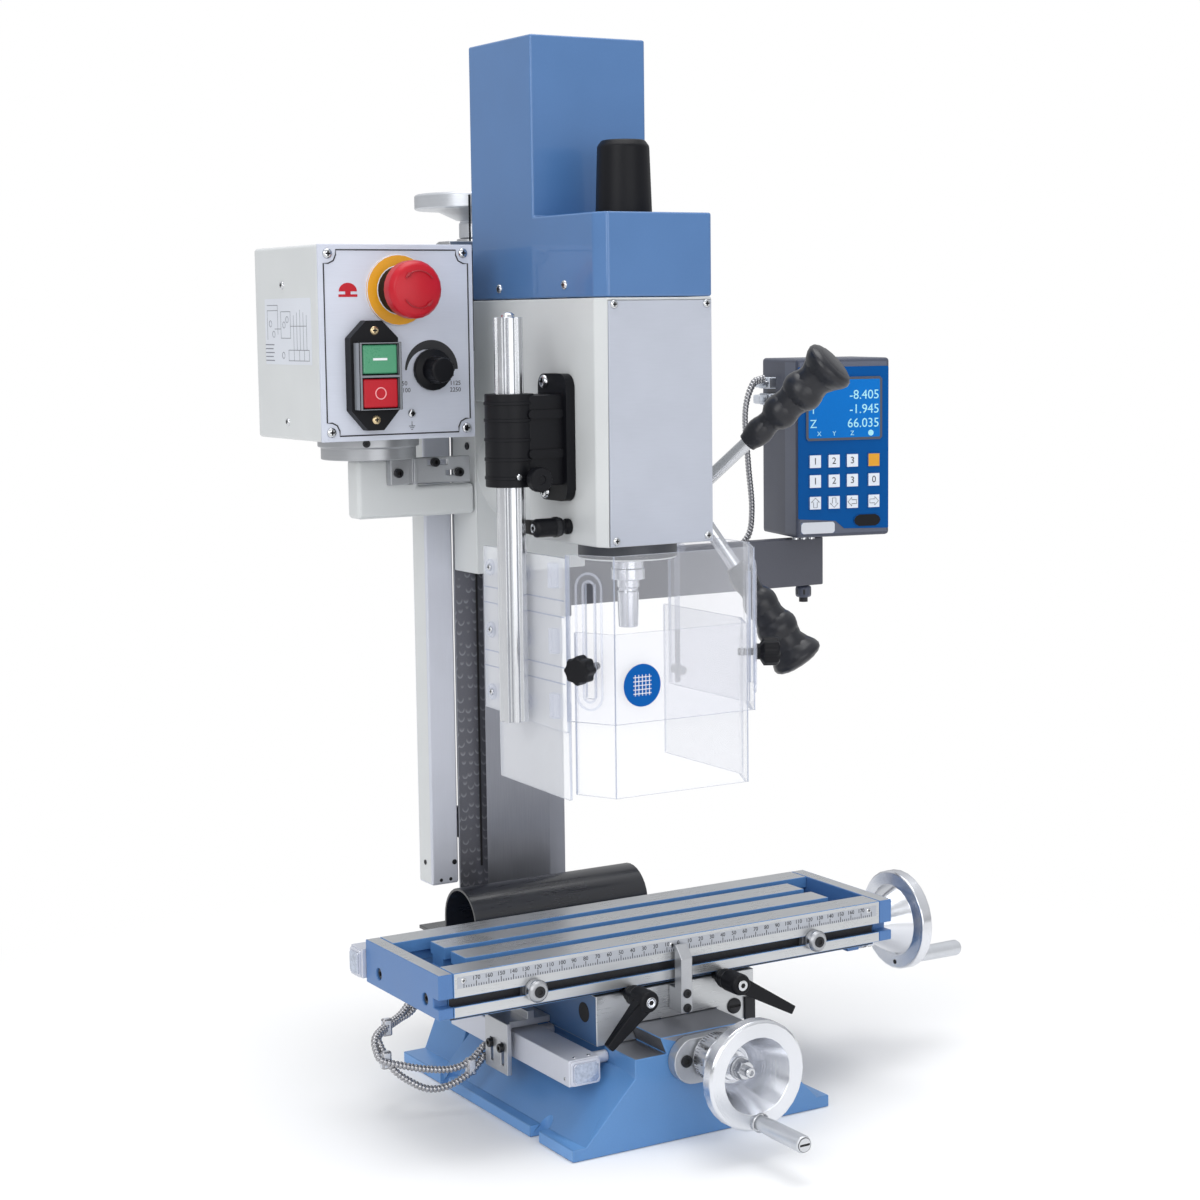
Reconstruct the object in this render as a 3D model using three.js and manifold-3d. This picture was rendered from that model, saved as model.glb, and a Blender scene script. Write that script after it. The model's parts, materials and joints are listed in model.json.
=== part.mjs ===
// Vertical milling machine: bench model with a dovetail column, cross table and tilting head.
// Millimetres. +X runs right along the table, +Y runs back from the operator, +Z is up.
// The spindle axis stands on X = 0, Y = 0, and the bench is at Z = 0.
import * as THREE from 'three';
import { ConvexGeometry } from 'three/addons/geometries/ConvexGeometry.js';
import { mergeVertices } from 'three/addons/utils/BufferGeometryUtils.js';
import Module from 'manifold-3d';

// ---------- driving dimensions ----------
const GAP = 0.3;                 // clearance between touching pieces
const SEGMENTS = 24;             // sides of a round piece

const BASE_FRONT = -101;
const BASE_BACK = 173.7;
const BASE_HALF = 113;
const FLANGE_H = 9;
const WAY_Z = 66.7;              // flat of the Y ways
const WAY_TOP = 79.3;            // top of the Y dovetail
const WAY_BACK = 128;
const UPSTAND_FRONT = 135;
const UPSTAND_TOP = 108;

const COLUMN_HALF = 50.3;
const COLUMN_FRONT = 178;        // face of the column's dovetail
const SHOULDER_Y = 189;
const COLUMN_BACK = 252;
const COLUMN_FOOT = 30;
const COLUMN_TOP = 655;
const Z_SCREW_Y = 235;

const TABLE_HALF = 188;
const TABLE_FRONT = -66;
const TABLE_BACK = 54;
const TABLE_Z = 110;
const TABLE_TOP = 142.5;
const TABLE_MID = (TABLE_FRONT + TABLE_BACK) / 2;
const END_T = 12;
const SLOT_PITCH = 33;
const SLOT_W = 10;
const TEE_W = 16;
const GROOVE_LOW = 117.9;        // T-groove along the table's front face
const GROOVE_HIGH = 124.5;

const SADDLE_FRONT = -60;
const SADDLE_BACK = 80;
const SADDLE_TOP = 105;

const X_SCREW_Z = 106;
const LEVER_Z = 105.8;
const Y_SCREW_Z = 63;
const SCREW_R = 6;
const WHEEL_R = 40.5;
const Z_WHEEL_R = 50.5;

const HEAD_HALF = 50.3;
const HEAD_FRONT = -49.8;
const HEAD_CHAMFER = 11;
const HEAD_BACK = 147.5;
const HEAD_BOTTOM = 434;
const HEAD_SPLIT = 60;           // the head's front block ends and its tilt flange begins
const HEAD_STEP = 536;
const HEAD_TOP = 615;
const COVER_STEP = 676.2;
const COVER_TOP = 810.7;
const TOWER_FRONT = 49.2;
const TILT_Z = 482;
const QUILL_R = 25;
const BOSS_R = 37.5;
const BOSS_Z = 421;
const CAPSTAN = { x: 77, y: 33.8, z: 460, first: 130.7, lean: 28.1, reach: 155 };
const PULLEY = { z: 624, h: 20, big: 28, small: 15 };
const MOTOR_Y = 98.4;

const GUARD_BOTTOM = 309;
const GUARD_TOP = 431;
const GUARD_T = 4;
const ROD = { x: -93, y: 12, r: 10.7, low: 303, high: 601.5 };

const BOX = { left: -204.5, right: -76.5, front: 100, back: 219, low: 511, high: 657 };
const ARM_PIVOT = { x: -139.3, y: 157 };
const DISPLAY = { x: 321.4, y: 160, w: 89.2, d: 78, low: 406.2, high: 562.7, yaw: -12.1 };
const DISPLAY_PIVOT = { x: 308, y: 202 };

// ---------- solids ----------
const wasm = await Module();
wasm.setup();

function solid(geometry) {
  const bare = geometry.clone();
  for (const name of Object.keys(bare.attributes)) {
    if (name !== 'position') bare.deleteAttribute(name);
  }
  const merged = mergeVertices(bare, 1e-4);
  const at = merged.attributes.position.array;
  const index = merged.index.array;
  let triangles = [];
  for (let i = 0; i < index.length; i += 3) {
    const [a, b, c] = [index[i], index[i + 1], index[i + 2]];
    if (a !== b && b !== c && a !== c) triangles.push(a, b, c);
  }
  if (signedVolume(at, triangles) < 0) triangles = triangles.reverse();
  const mesh = new wasm.Mesh({
    numProp: 3,
    vertProperties: new Float32Array(at),
    triVerts: new Uint32Array(triangles),
  });
  return new wasm.Manifold(mesh);
}

function signedVolume(at, triangles) {
  let sum = 0;
  for (let i = 0; i < triangles.length; i += 3) {
    const [a, b, c] = [0, 1, 2].map((k) => new THREE.Vector3().fromArray(at, 3 * triangles[i + k]));
    sum += a.dot(b.cross(c)) / 6;
  }
  return sum;
}

function box(x0, x1, y0, y1, z0, z1) {
  const geometry = new THREE.BoxGeometry(x1 - x0, y1 - y0, z1 - z0);
  return solid(geometry.translate((x0 + x1) / 2, (y0 + y1) / 2, (z0 + z1) / 2));
}

// An outline drawn in XY is pulled up Z, in XZ along Y, and in YZ along X.
const PULL = {
  x: new THREE.Matrix4().set(0, 0, 1, 0, 1, 0, 0, 0, 0, 1, 0, 0, 0, 0, 0, 1),
  y: new THREE.Matrix4().set(1, 0, 0, 0, 0, 0, -1, 0, 0, 1, 0, 0, 0, 0, 0, 1),
  z: new THREE.Matrix4(),
};

function prism(axis, outline, from, to) {
  const shape = new THREE.Shape(outline.map(([a, b]) => new THREE.Vector2(a, b)));
  const geometry = new THREE.ExtrudeGeometry(shape, { depth: to - from, bevelEnabled: false });
  geometry.applyMatrix4(PULL[axis]);
  const start = axis === 'y' ? to : from;
  const move = { x: [start, 0, 0], y: [0, start, 0], z: [0, 0, start] }[axis];
  return solid(geometry.translate(...move));
}

// A profile of [radius, distance] pairs turned about an axis that starts at a point.
function turned(axis, origin, profile, segments = SEGMENTS) {
  const points = profile.map(([r, h]) => new THREE.Vector2(r, h));
  if (profile[0][0] > 0 && profile.at(-1)[0] > 0) points.push(points[0].clone());
  const geometry = new THREE.LatheGeometry(points, segments);
  const direction = new THREE.Vector3(...axis).normalize();
  geometry.applyQuaternion(new THREE.Quaternion().setFromUnitVectors(new THREE.Vector3(0, 1, 0), direction));
  return solid(geometry.translate(...origin));
}

function rod(axis, origin, radius, from, to, segments = SEGMENTS) {
  return turned(axis, origin, [[0, from], [radius, from], [radius, to], [0, to]], segments);
}

function hull(points) {
  return solid(new ConvexGeometry(points.map((p) => new THREE.Vector3(...p))));
}

function sweep(points, radius, steps, sides = 8) {
  const curve = new THREE.CatmullRomCurve3(points.map((p) => new THREE.Vector3(...p)));
  const ring = [...Array(sides).keys()].map((i) => {
    const a = (2 * Math.PI * i) / sides;
    return new THREE.Vector2(radius * Math.cos(a), radius * Math.sin(a));
  });
  const options = { steps, extrudePath: curve, bevelEnabled: false };
  return solid(new THREE.ExtrudeGeometry(new THREE.Shape(ring), options));
}

function join(first, ...rest) {
  return rest.reduce((sum, piece) => sum.add(piece), first);
}

function cut(first, ...rest) {
  return rest.reduce((left, piece) => left.subtract(piece), first);
}

const mirrorX = (outline) => outline.map(([a, b]) => [-a, b]).reverse();
const both = (outline) => [...outline, ...mirrorX(outline)];
const degrees = THREE.MathUtils.degToRad;

const machine = new THREE.Group();

const FINISH = {
  blue: ['#507db4', 0.45, 0],
  white: ['#c8cdcb', 0.5, 0],
  panel: ['#c0c5d1', 0.4, 0.1],
  ground: ['#a8a8a6', 0.35, 0.8],
  iron: ['#3c3b3e', 0.45, 0.7],
  aluminium: ['#c9cbcf', 0.3, 0.9],
  steel: ['#8d9095', 0.3, 0.9],
  black: ['#23242a', 0.5, 0],
  rubber: ['#1d1e22', 0.75, 0],
  clear: ['#e8f0f5', 0.08, 0],
  red: ['#c42d3a', 0.35, 0],
  green: ['#559b7d', 0.4, 0],
  grey: ['#4b505f', 0.5, 0],
};

function add(name, piece, finish) {
  const { numProp, vertProperties, triVerts } = piece.getMesh();
  const geometry = new THREE.BufferGeometry();
  const at = new Float32Array((vertProperties.length / numProp) * 3);
  for (let i = 0; i < at.length / 3; i += 1) {
    for (let k = 0; k < 3; k += 1) at[3 * i + k] = vertProperties[numProp * i + k];
  }
  geometry.setAttribute('position', new THREE.BufferAttribute(at, 3));
  geometry.setIndex(new THREE.BufferAttribute(new Uint32Array(triVerts), 1));
  geometry.computeVertexNormals();
  const [color, roughness, metalness] = FINISH[finish];
  const mesh = new THREE.Mesh(geometry, new THREE.MeshStandardMaterial({ color, roughness, metalness }));
  mesh.name = name;
  machine.add(mesh);
}

// ---------- base ----------
function baseCasting() {
  const flange = box(-BASE_HALF, BASE_HALF, BASE_FRONT, BASE_BACK, 0, FLANGE_H);
  const front = hull(both([[105, 8], [62, 54.6]]).flatMap(([x, z]) => [[x, -66, z], [x, 118, z]])
    .concat([[-103, BASE_FRONT, 8], [103, BASE_FRONT, 8], [-58, BASE_FRONT, 54.6], [58, BASE_FRONT, 54.6]]));
  const back = hull(both([[94, 8]]).flatMap(([x, z]) => [[x, 116, z], [x, BASE_BACK, z]])
    .concat(both([[53, UPSTAND_TOP]]).flatMap(([x, z]) => [[x, UPSTAND_FRONT, z], [x, BASE_BACK, z]])));
  const bed = box(-60, 60, BASE_FRONT, UPSTAND_FRONT, 50, WAY_Z);
  const dovetail = prism('y', [[-33, 60], [33, 60], [33, WAY_Z], [38, WAY_TOP], [-38, WAY_TOP], [-33, WAY_Z]],
    BASE_FRONT, WAY_BACK);
  const rearWall = box(-53, 53, WAY_BACK + 8, UPSTAND_FRONT + 5, WAY_Z, UPSTAND_TOP);
  const clearWays = box(-70, 70, 20, WAY_BACK + 8, WAY_Z, 130);
  let casting = join(flange, front, cut(join(back, rearWall), clearWays), bed, dovetail);
  const pocketFront = hull([[-88, -88, -1], [88, -88, -1], [88, -7, -1], [-88, -7, -1],
    [-48, -84, 42], [48, -84, 42], [48, -7, 42], [-48, -7, 42]]);
  const pocketBack = hull([[-80, 7, -1], [80, 7, -1], [80, 163, -1], [-80, 163, -1],
    [-48, 7, 42], [48, 7, 42], [48, 163, 42], [-48, 163, 42]]);
  const screwTrough = box(-12, 12, -59.5, WAY_BACK + 7, 53, 90);
  const screwHole = rod([0, 1, 0], [0, 0, Y_SCREW_Z], SCREW_R + 0.6, -110, -55);
  casting = cut(casting, pocketFront, pocketBack, screwTrough, screwHole);
  for (const side of [-1, 1]) {
    for (const y of [-44, 101]) {
      const mouth = side * (BASE_HALF + 5);
      const inner = side * (BASE_HALF - 9);
      const notch = box(Math.min(mouth, inner), Math.max(mouth, inner), y - 6.5, y + 6.5, -1, FLANGE_H + 25);
      casting = cut(casting, notch, rod([0, 0, 1], [inner, y, 0], 6.5, -1, FLANGE_H + 25, 20));
    }
  }
  return casting;
}

function yBearingFlange() {
  const plate = hull([...Array(24).keys()].flatMap((i) => {
    const a = (2 * Math.PI * i) / 24;
    const x = 18 * Math.cos(a) + 14.5 * Math.sign(Math.cos(a));
    const z = Y_SCREW_Z - 2 + 17.5 * Math.sin(a);
    return [[x, BASE_FRONT - GAP, z], [x, BASE_FRONT - 10, z]];
  }));
  const boss = rod([0, -1, 0], [0, 0, Y_SCREW_Z], 16, 105, 113);
  return cut(join(plate, boss), rod([0, -1, 0], [0, 0, Y_SCREW_Z], SCREW_R + GAP, 90, 120));
}

// ---------- column ----------
// The casting tapers back from its wide front face to a narrow spine around the Z screw.
function columnBody() {
  const half = COLUMN_HALF;
  const shell = prism('z', both([[half, SHOULDER_Y], [half, SHOULDER_Y + 1.5], [18.5, COLUMN_BACK]]),
    COLUMN_FOOT, COLUMN_TOP);
  const dovetail = prism('z', [[-23.6, SHOULDER_Y + 1], [-23.6, SHOULDER_Y], [-30, COLUMN_FRONT],
    [30, COLUMN_FRONT], [23.6, SHOULDER_Y], [23.6, SHOULDER_Y + 1]], 112, COLUMN_TOP);
  const foot = box(-46, 46, BASE_BACK + GAP, SHOULDER_Y + 1, COLUMN_FOOT, 104);
  const hollow = prism('z', both([[33, SHOULDER_Y + 10], [12.4, COLUMN_BACK - 6]]), COLUMN_FOOT - 1, COLUMN_TOP + 1);
  const spineSlot = box(-8, 8, COLUMN_BACK - 8, COLUMN_BACK + 1, 90, 620);
  const ears = [170, 590].map((z) => box(-70, -34, 214 + GAP, 219.5, z, z + 26));
  return cut(join(shell, dovetail, foot, ...ears), hollow, spineSlot);
}

function columnTopBracket() {
  const cap = prism('z', both([[50, 186], [50, 206], [28, COLUMN_BACK + 2]]), COLUMN_TOP + GAP, COLUMN_TOP + 8);
  const boss = rod([0, 0, 1], [0, Z_SCREW_Y, 0], 16, COLUMN_TOP + 1, COLUMN_TOP + 11.5);
  const skirt = rod([0, 0, 1], [0, Z_SCREW_Y - 8, 0], 13, COLUMN_TOP - 12, COLUMN_TOP + 1, 20);
  const hole = rod([0, 0, 1], [0, Z_SCREW_Y, 0], 9 + GAP, COLUMN_TOP - 20, COLUMN_TOP + 20);
  return cut(join(cap, boss, skirt), hole);
}

function columnParts() {
  add('column', columnBody(), 'iron');
  add('column_top_bracket', columnTopBracket(), 'white');
  const duct = cut(box(-75.4, -50.8, 190, 214, 138, 650), box(-56, -45, 197, 207, 160, 630));
  add('z_scale', duct, 'panel');
  const arm = join(box(50.3 + GAP, 325, 195, 209, 360, 403), box(50.3 + GAP, 58, 186, 218, 352, 411));
  add('display_arm', cut(arm, rod([0, 0, 1], [DISPLAY_PIVOT.x, DISPLAY_PIVOT.y, 0], 4.4, 350, 420, 16)), 'grey');
}

// ---------- Y scale and way cover ----------
function yScale() {
  const body = box(-100.5, -74.5, -75, 112, 46, 66);
  const posts = [-60, 20, 100].map((y) => rod([1, 0, 0], [0, y, 59.5], 4.5, -75, -60 - GAP, 16));
  return join(body, ...posts);
}

function wayCover() {
  const thick = 2.2;
  const arch = (r, h, low) => {
    const line = [[109 - r, low - 6]];
    for (let i = 0; i <= 16; i += 1) {
      const a = Math.PI * (1 - i / 16);
      line.push([109 + r * Math.cos(a), 128 + h * Math.sin(a)]);
    }
    line.push([109 + r, low]);
    return line;
  };
  const outer = arch(27, 26.8, 108.6);
  const inner = arch(27 - thick, 26.8 - thick, 108);
  const skin = cut(prism('x', outer, -92, 66), prism('x', inner, -93, 67));
  const backStrip = box(-95, 66, 134.2, 176.5, 108.6, 111.6);
  return join(skin, backStrip);
}

// ---------- saddle ----------
function saddleBody() {
  const block = box(-68, 72, SADDLE_FRONT, SADDLE_BACK, WAY_Z + GAP, SADDLE_TOP);
  const rail = prism('x', [[TABLE_MID - 23, SADDLE_TOP - 1], [TABLE_MID + 23, SADDLE_TOP - 1],
    [TABLE_MID + 28, 114.7], [TABLE_MID - 28, 114.7]], -68, 72);
  const yWay = prism('y', both([[33.4, 60], [33.4, WAY_Z], [38.5, WAY_TOP + GAP]]), SADDLE_FRONT - 1,
    SADDLE_BACK + 1);
  const nut = box(-10, 10, -8, 24, 54, WAY_TOP + 1);
  const screwRun = box(-12, 12, SADDLE_FRONT - 1, SADDLE_BACK + 1, 50, WAY_TOP + GAP + 0.1);
  const xTrough = box(-69, 73, TABLE_MID - 8.5, TABLE_MID + 8.5, 97, 116);
  const xNut = box(-16, 16, TABLE_MID - 9, TABLE_MID + 9, 96, 114.7);
  let body = cut(join(block, rail), yWay, screwRun, xTrough);
  body = join(body, xNut, nut);
  const yHole = rod([0, 1, 0], [0, 0, Y_SCREW_Z], SCREW_R + GAP, -90, 90);
  const xHole = rod([1, 0, 0], [0, TABLE_MID, X_SCREW_Z], SCREW_R + GAP, -90, 90);
  return cut(body, yHole, xHole);
}

function tablePointer() {
  const block = box(-5, 5, -78, SADDLE_FRONT - GAP, 86, 104.5);
  const finger = prism('x', [[-78, 100], [-68.4, 100], [-68.4, 137], [-70.5, 137], [-78, 128]], -5, 5);
  return join(block, finger);
}

function yScaleReader() {
  const plate = box(-108, -104, 5, 40, 34, 74);
  const slots = [13, 30].map((y) => box(-110, -102, y - 2.4, y + 2.4, 40, 58));
  const arm = box(-105, -68 - GAP, 9, 36, 69, 74);
  const rib = box(-88, -82, 9, 36, 73, 80);
  return join(cut(plate, ...slots), arm, rib);
}

function clampLever(x, tip) {
  const z = LEVER_Z;
  const profile = [[0, 60.3], [3.8, 60.3], [3.8, 66.6], [6, 67], [6, 71], [7.6, 72], [7.6, 78], [8.2, 79],
    [8.2, 94.5], [7, 96.5], [0, 96.5]];
  const hub = turned([0, -1, 0], [x, 0, z], profile, 20);
  const along = new THREE.Vector2(tip[0] - x, tip[1] - z);
  const length = along.length();
  along.normalize();
  const corner = (t, half, y) => [x + along.x * t - along.y * half, y, z + along.y * t + along.x * half];
  const arm = hull([corner(2, 5.8, -95), corner(2, -5.8, -95), corner(2, 5.8, -85), corner(2, -5.8, -85),
    corner(length, 3.4, -94), corner(length, -3.4, -94), corner(length, 3.4, -88), corner(length, -3.4, -88)]);
  return join(hub, arm);
}

// ---------- table ----------
function tableBody() {
  let body = join(box(-TABLE_HALF, TABLE_HALF, TABLE_FRONT, TABLE_BACK, TABLE_Z, TABLE_TOP),
    box(-TABLE_HALF, TABLE_HALF, -58, 46, 106, TABLE_Z + 1));
  const cuts = [];
  for (const k of [-1, 0, 1]) {
    const y = TABLE_MID + k * SLOT_PITCH;
    cuts.push(box(-200, 200, y - SLOT_W / 2, y + SLOT_W / 2, 126.5, 150));
    cuts.push(box(-200, 200, y - TEE_W / 2, y + TEE_W / 2, 126.5, 133.5));
  }
  const low = TABLE_MID - SLOT_PITCH - SLOT_W / 2;
  const high = TABLE_MID + SLOT_PITCH + SLOT_W / 2;
  for (const side of [-1, 1]) {
    const x0 = side < 0 ? -200 : 162;
    cuts.push(box(x0, x0 + 38, low, high, 126.5, 150));
  }
  cuts.push(box(-200, 200, TABLE_FRONT - 1, TABLE_FRONT + 4, GROOVE_LOW, GROOVE_HIGH));
  cuts.push(box(-200, 200, TABLE_FRONT + 3, TABLE_FRONT + 9, GROOVE_LOW - 2.5, GROOVE_HIGH + 2.5));
  cuts.push(prism('x', [[TABLE_MID - 24, 105], [TABLE_MID + 24, 105], [TABLE_MID + 28.8, 115],
    [TABLE_MID - 28.8, 115]], -200, 200));
  return cut(body, ...cuts);
}

function tableEnd(side) {
  const near = side * (TABLE_HALF + GAP);
  const far = side * (TABLE_HALF + END_T);
  const [x0, x1] = [Math.min(near, far), Math.max(near, far)];
  let piece = box(x0, x1, TABLE_FRONT, TABLE_BACK, TABLE_Z, TABLE_TOP);
  piece = cut(piece, box(x0 - 1, x1 + 1, TABLE_FRONT - 1, TABLE_FRONT + 9, GROOVE_LOW, GROOVE_HIGH));
  for (const y of [-44, 32]) piece = cut(piece, rod([side, 0, 0], [0, y, 121], 4.5, 194, 210, 16));
  if (side > 0) {
    piece = join(piece, box(x0, x1, TABLE_MID - 18, TABLE_MID + 18, 92, TABLE_Z + 1));
    piece = cut(piece, rod([1, 0, 0], [0, TABLE_MID, X_SCREW_Z], SCREW_R + GAP, 180, 210));
  }
  return piece;
}

function tableStop(x) {
  const z = (GROOVE_LOW + GROOVE_HIGH) / 2;
  const head = turned([0, -1, 0], [x, 0, z], [[0, 66.4], [8, 66.4], [8, 73], [6.5, 75], [0, 75]], 20);
  const neck = box(x - 2.8, x + 2.8, -67, -60, GROOVE_LOW + GAP, GROOVE_HIGH - GAP);
  const nut = box(x - 7, x + 7, -62.6, -57.4, GROOVE_LOW - 2.1, GROOVE_HIGH + 2.1);
  return join(head, neck, nut);
}

// ---------- handwheels ----------
// The wheel is turned along its own axis: dial, coned web, flat rim and dished face.
function handwheel(axis, origin, radius, dialAt, rimAt, rimEnd, dialR) {
  const coneR = radius * 0.72;
  const profile = [[0, dialAt], [dialR, dialAt], [dialR, dialAt + 15], [dialR - 2, dialAt + 15],
    [dialR - 2, dialAt + 17], [coneR, rimAt], [radius - 1, rimAt], [radius, rimAt + 1],
    [radius, rimEnd - 1.5], [radius - 1.5, rimEnd], [coneR - 1, rimEnd], [14, dialAt + 24],
    [11, dialAt + 24], [11, dialAt + 27], [7, dialAt + 27], [7, dialAt + 34], [0, dialAt + 34]];
  return turned(axis, origin, profile, 28);
}

function crankStud(axis, at, from) {
  return rod(axis, at, 3, from - 2, from + 22, 12);
}

function crankHandle(axis, at, from, to) {
  const profile = [[3.3, from], [5.4, from], [6.3, from + 14], [6.5, to - 2], [5.5, to], [0, to],
    [0, from + 24], [3.3, from + 24]];
  return turned(axis, at, profile.slice(0, 8), 16);
}

function xDrive() {
  const axis = [1, 0, 0];
  const centre = [0, TABLE_MID, X_SCREW_Z];
  const crank = [0, TABLE_MID - 9.5, X_SCREW_Z - 30];
  const wheel = handwheel(axis, centre, WHEEL_R, 209, 247, 258, 18);
  add('x_handwheel', join(wheel, crankStud(axis, crank, 258)), 'aluminium');
  const screw = join(rod(axis, centre, SCREW_R, -180, 208.7, 20), rod(axis, centre, 12, 200.4, 208.7, 24));
  add('x_leadscrew', screw, 'steel');
  add('x_crank_handle', crankHandle(axis, crank, 258.4, 308), 'aluminium');
}

function yDrive() {
  const axis = [0, -1, 0];
  const centre = [0, 0, Y_SCREW_Z];
  const crank = [1, 0, Y_SCREW_Z - 34];
  const wheel = handwheel(axis, centre, WHEEL_R, 113.4, 159, 170, 18);
  add('y_handwheel', join(wheel, crankStud(axis, crank, 170)), 'aluminium');
  add('y_leadscrew', rod(axis, centre, SCREW_R, -120, 113.1, 20), 'steel');
  add('y_crank_handle', crankHandle(axis, crank, 170.4, 225), 'aluminium');
}

function zDrive() {
  const axis = [0, 0, 1];
  const centre = [0, Z_SCREW_Y, 0];
  const profile = [[0, 667], [14, 667], [14, 679], [12.5, 681], [16, 681.5], [34, 690], [49.5, 690],
    [50.5, 691], [50.5, 701.5], [49, 703], [33, 703], [14, 686], [8, 686], [8, 693], [0, 693]];
  const knob = turned(axis, [36, Z_SCREW_Y + 20, 0], [[0, 702], [5, 702], [6.5, 742], [5, 748], [0, 748]], 14);
  add('z_handwheel', join(turned(axis, centre, profile, 28), knob), 'aluminium');
  add('z_leadscrew', rod(axis, centre, 9, 60, 666.7, 20), 'steel');
}

// ---------- Z slide, arm and control box ----------
function zSlide() {
  const plate = box(-50, 50, 149, SHOULDER_Y - GAP, 398, 575);
  const boss = rod([0, 1, 0], [0, 0, TILT_Z], 48, HEAD_SPLIT + GAP, 150, 32);
  const spigot = rod([0, 1, 0], [0, 0, TILT_Z], 12, 48, HEAD_SPLIT + 1, 24);
  const way = prism('z', [[-24.0, 200], [-24.0, SHOULDER_Y], [-30.4, COLUMN_FRONT - GAP],
    [30.4, COLUMN_FRONT - GAP], [24.0, SHOULDER_Y], [24.0, 200]], 390, 580);
  return cut(join(plate, boss, spigot), way);
}

function controlArm() {
  const bar = box(-152.5, -50 - GAP, 150, 170, 447, 471);
  const post = box(-152.5, -100, 150, 170, 470, 493.7);
  return join(bar, post);
}

function swivelDisc() {
  const at = [ARM_PIVOT.x, ARM_PIVOT.y, 0];
  const profile = [[0, 494], [37, 494], [37, 503.4], [39.4, 503.8], [39.4, 510.6], [0, 510.6]];
  return turned([0, 0, 1], at, profile, 32);
}

function zScaleReader() {
  const plate = box(-128, -57, 145.5, 149.6, 473, 493.6);
  const slots = [box(-94, -76, 140, 155, 487.2, 491.4), box(-78, -63, 140, 155, 478.8, 483)];
  const block = box(-128, -112, 141.5, 146, 473.5, 493);
  const ridge = box(-107, -104, 143.5, 146, 473.5, 493);
  return join(cut(plate, ...slots), block, ridge);
}

function controlBoxShell() {
  const { left, right, front, back, low, high } = BOX;
  const shell = cut(box(left, right, front + GAP, back, low, high),
    box(left + 2, right - 2, front - 1, back - 2, low + 2, high - 2));
  const post = (x, z) => rod([0, 1, 0], [x, 0, z], 4, front + GAP, back - 1, 12);
  return join(shell, post(left + 5, low + 5), post(right - 5, low + 5), post(left + 5, high - 5),
    post(right - 5, high - 5));
}

const PANEL = { x: (BOX.left + BOX.right) / 2, z: (BOX.low + BOX.high) / 2, face: BOX.front - 2.5 };
const ESTOP = { x: PANEL.x + 0.5, z: PANEL.z + 39 };
const SWITCH = { x: PANEL.x - 24.5, z: PANEL.z - 24.2 };
const DIAL = { x: PANEL.x + 27.5, z: PANEL.z - 21 };
const KEY_Z = { start: SWITCH.z + 12.2, stop: SWITCH.z - 13 };

function controlPanel() {
  const plate = box(BOX.left, BOX.right, PANEL.face, BOX.front, BOX.low, BOX.high);
  const ring = turned([0, -1, 0], [ESTOP.x, 0, ESTOP.z], [[9, -99], [26.5, -99], [26.5, -PANEL.face + 2],
    [18, -PANEL.face + 3], [17, -PANEL.face + 13], [9, -PANEL.face + 13]], 28);
  const holes = [rod([0, 1, 0], [ESTOP.x, 0, ESTOP.z], 9, 80, 110, 20),
    rod([0, 1, 0], [DIAL.x, 0, DIAL.z], 3.6, 80, 110, 12),
    box(SWITCH.x - 13, SWITCH.x + 13, 80, 110, SWITCH.z - 23, SWITCH.z + 23)];
  return join(cut(plate, ...holes), ring);
}

function switchPlate() {
  const y0 = PANEL.face - GAP;
  const shape = both([[6.5, 40.8], [19.6, 28], [19.6, -26], [6.5, -40.8]]);
  const plate = prism('y', shape.map(([a, b]) => [SWITCH.x + a, SWITCH.z + b]), y0 - 10, y0);
  const rear = box(SWITCH.x - 12.5, SWITCH.x + 12.5, y0 - 1, 125, SWITCH.z - 22.5, SWITCH.z + 22.5);
  const frame = box(SWITCH.x - 17.4, SWITCH.x + 17.4, y0 - 20, y0 - 9, SWITCH.z - 25.4, SWITCH.z + 24.8);
  const well = (z) => box(SWITCH.x - 14.8, SWITCH.x + 14.8, y0 - 30, y0 - 5, z - 11.4, z + 11.4);
  const stem = (z) => box(SWITCH.x - 5, SWITCH.x + 5, y0 - 20, y0 + 6, z - 5, z + 5);
  return cut(join(plate, rear, frame), well(KEY_Z.start), well(KEY_Z.stop), stem(KEY_Z.start), stem(KEY_Z.stop));
}

function pushButton(z) {
  const y0 = PANEL.face - GAP;
  const cap = box(SWITCH.x - 14.2, SWITCH.x + 14.2, y0 - 19, y0 - 9.4, z - 10.8, z + 10.8);
  const stem = box(SWITCH.x - 4.5, SWITCH.x + 4.5, y0 - 10, y0 + 1, z - 4.5, z + 4.5);
  return join(cap, stem);
}

function controlButtons() {
  const face = -PANEL.face;
  const mushroom = [[0, face - 14], [8.4, face - 14], [8.4, face + 17.5], [20, face + 18], [21.6, face + 21],
    [21.6, face + 30], [19, face + 34], [12, face + 36], [0, face + 36.5]];
  add('estop_button', turned([0, -1, 0], [ESTOP.x, 0, ESTOP.z], mushroom, 24), 'red');
  add('start_button', pushButton(KEY_Z.start), 'green');
  add('stop_button', pushButton(KEY_Z.stop), 'red');
  const knob = [[0, face - 8], [3, face - 8], [3, face + 0.5], [15.8, face + 0.5], [15.8, face + 4], [10.4, face + 6],
    [9.6, face + 19], [8.4, face + 20.4], [0, face + 20.4]];
  add('speed_knob', turned([0, -1, 0], [DIAL.x, 0, DIAL.z], knob, 20), 'black');
}

// ---------- head ----------
function frontOutline(half, front, back, chamfer) {
  return [[-half, back], [-half, front + chamfer], [-half + 6, front], [half - 6, front],
    [half, front + chamfer], [half, back]];
}

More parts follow.
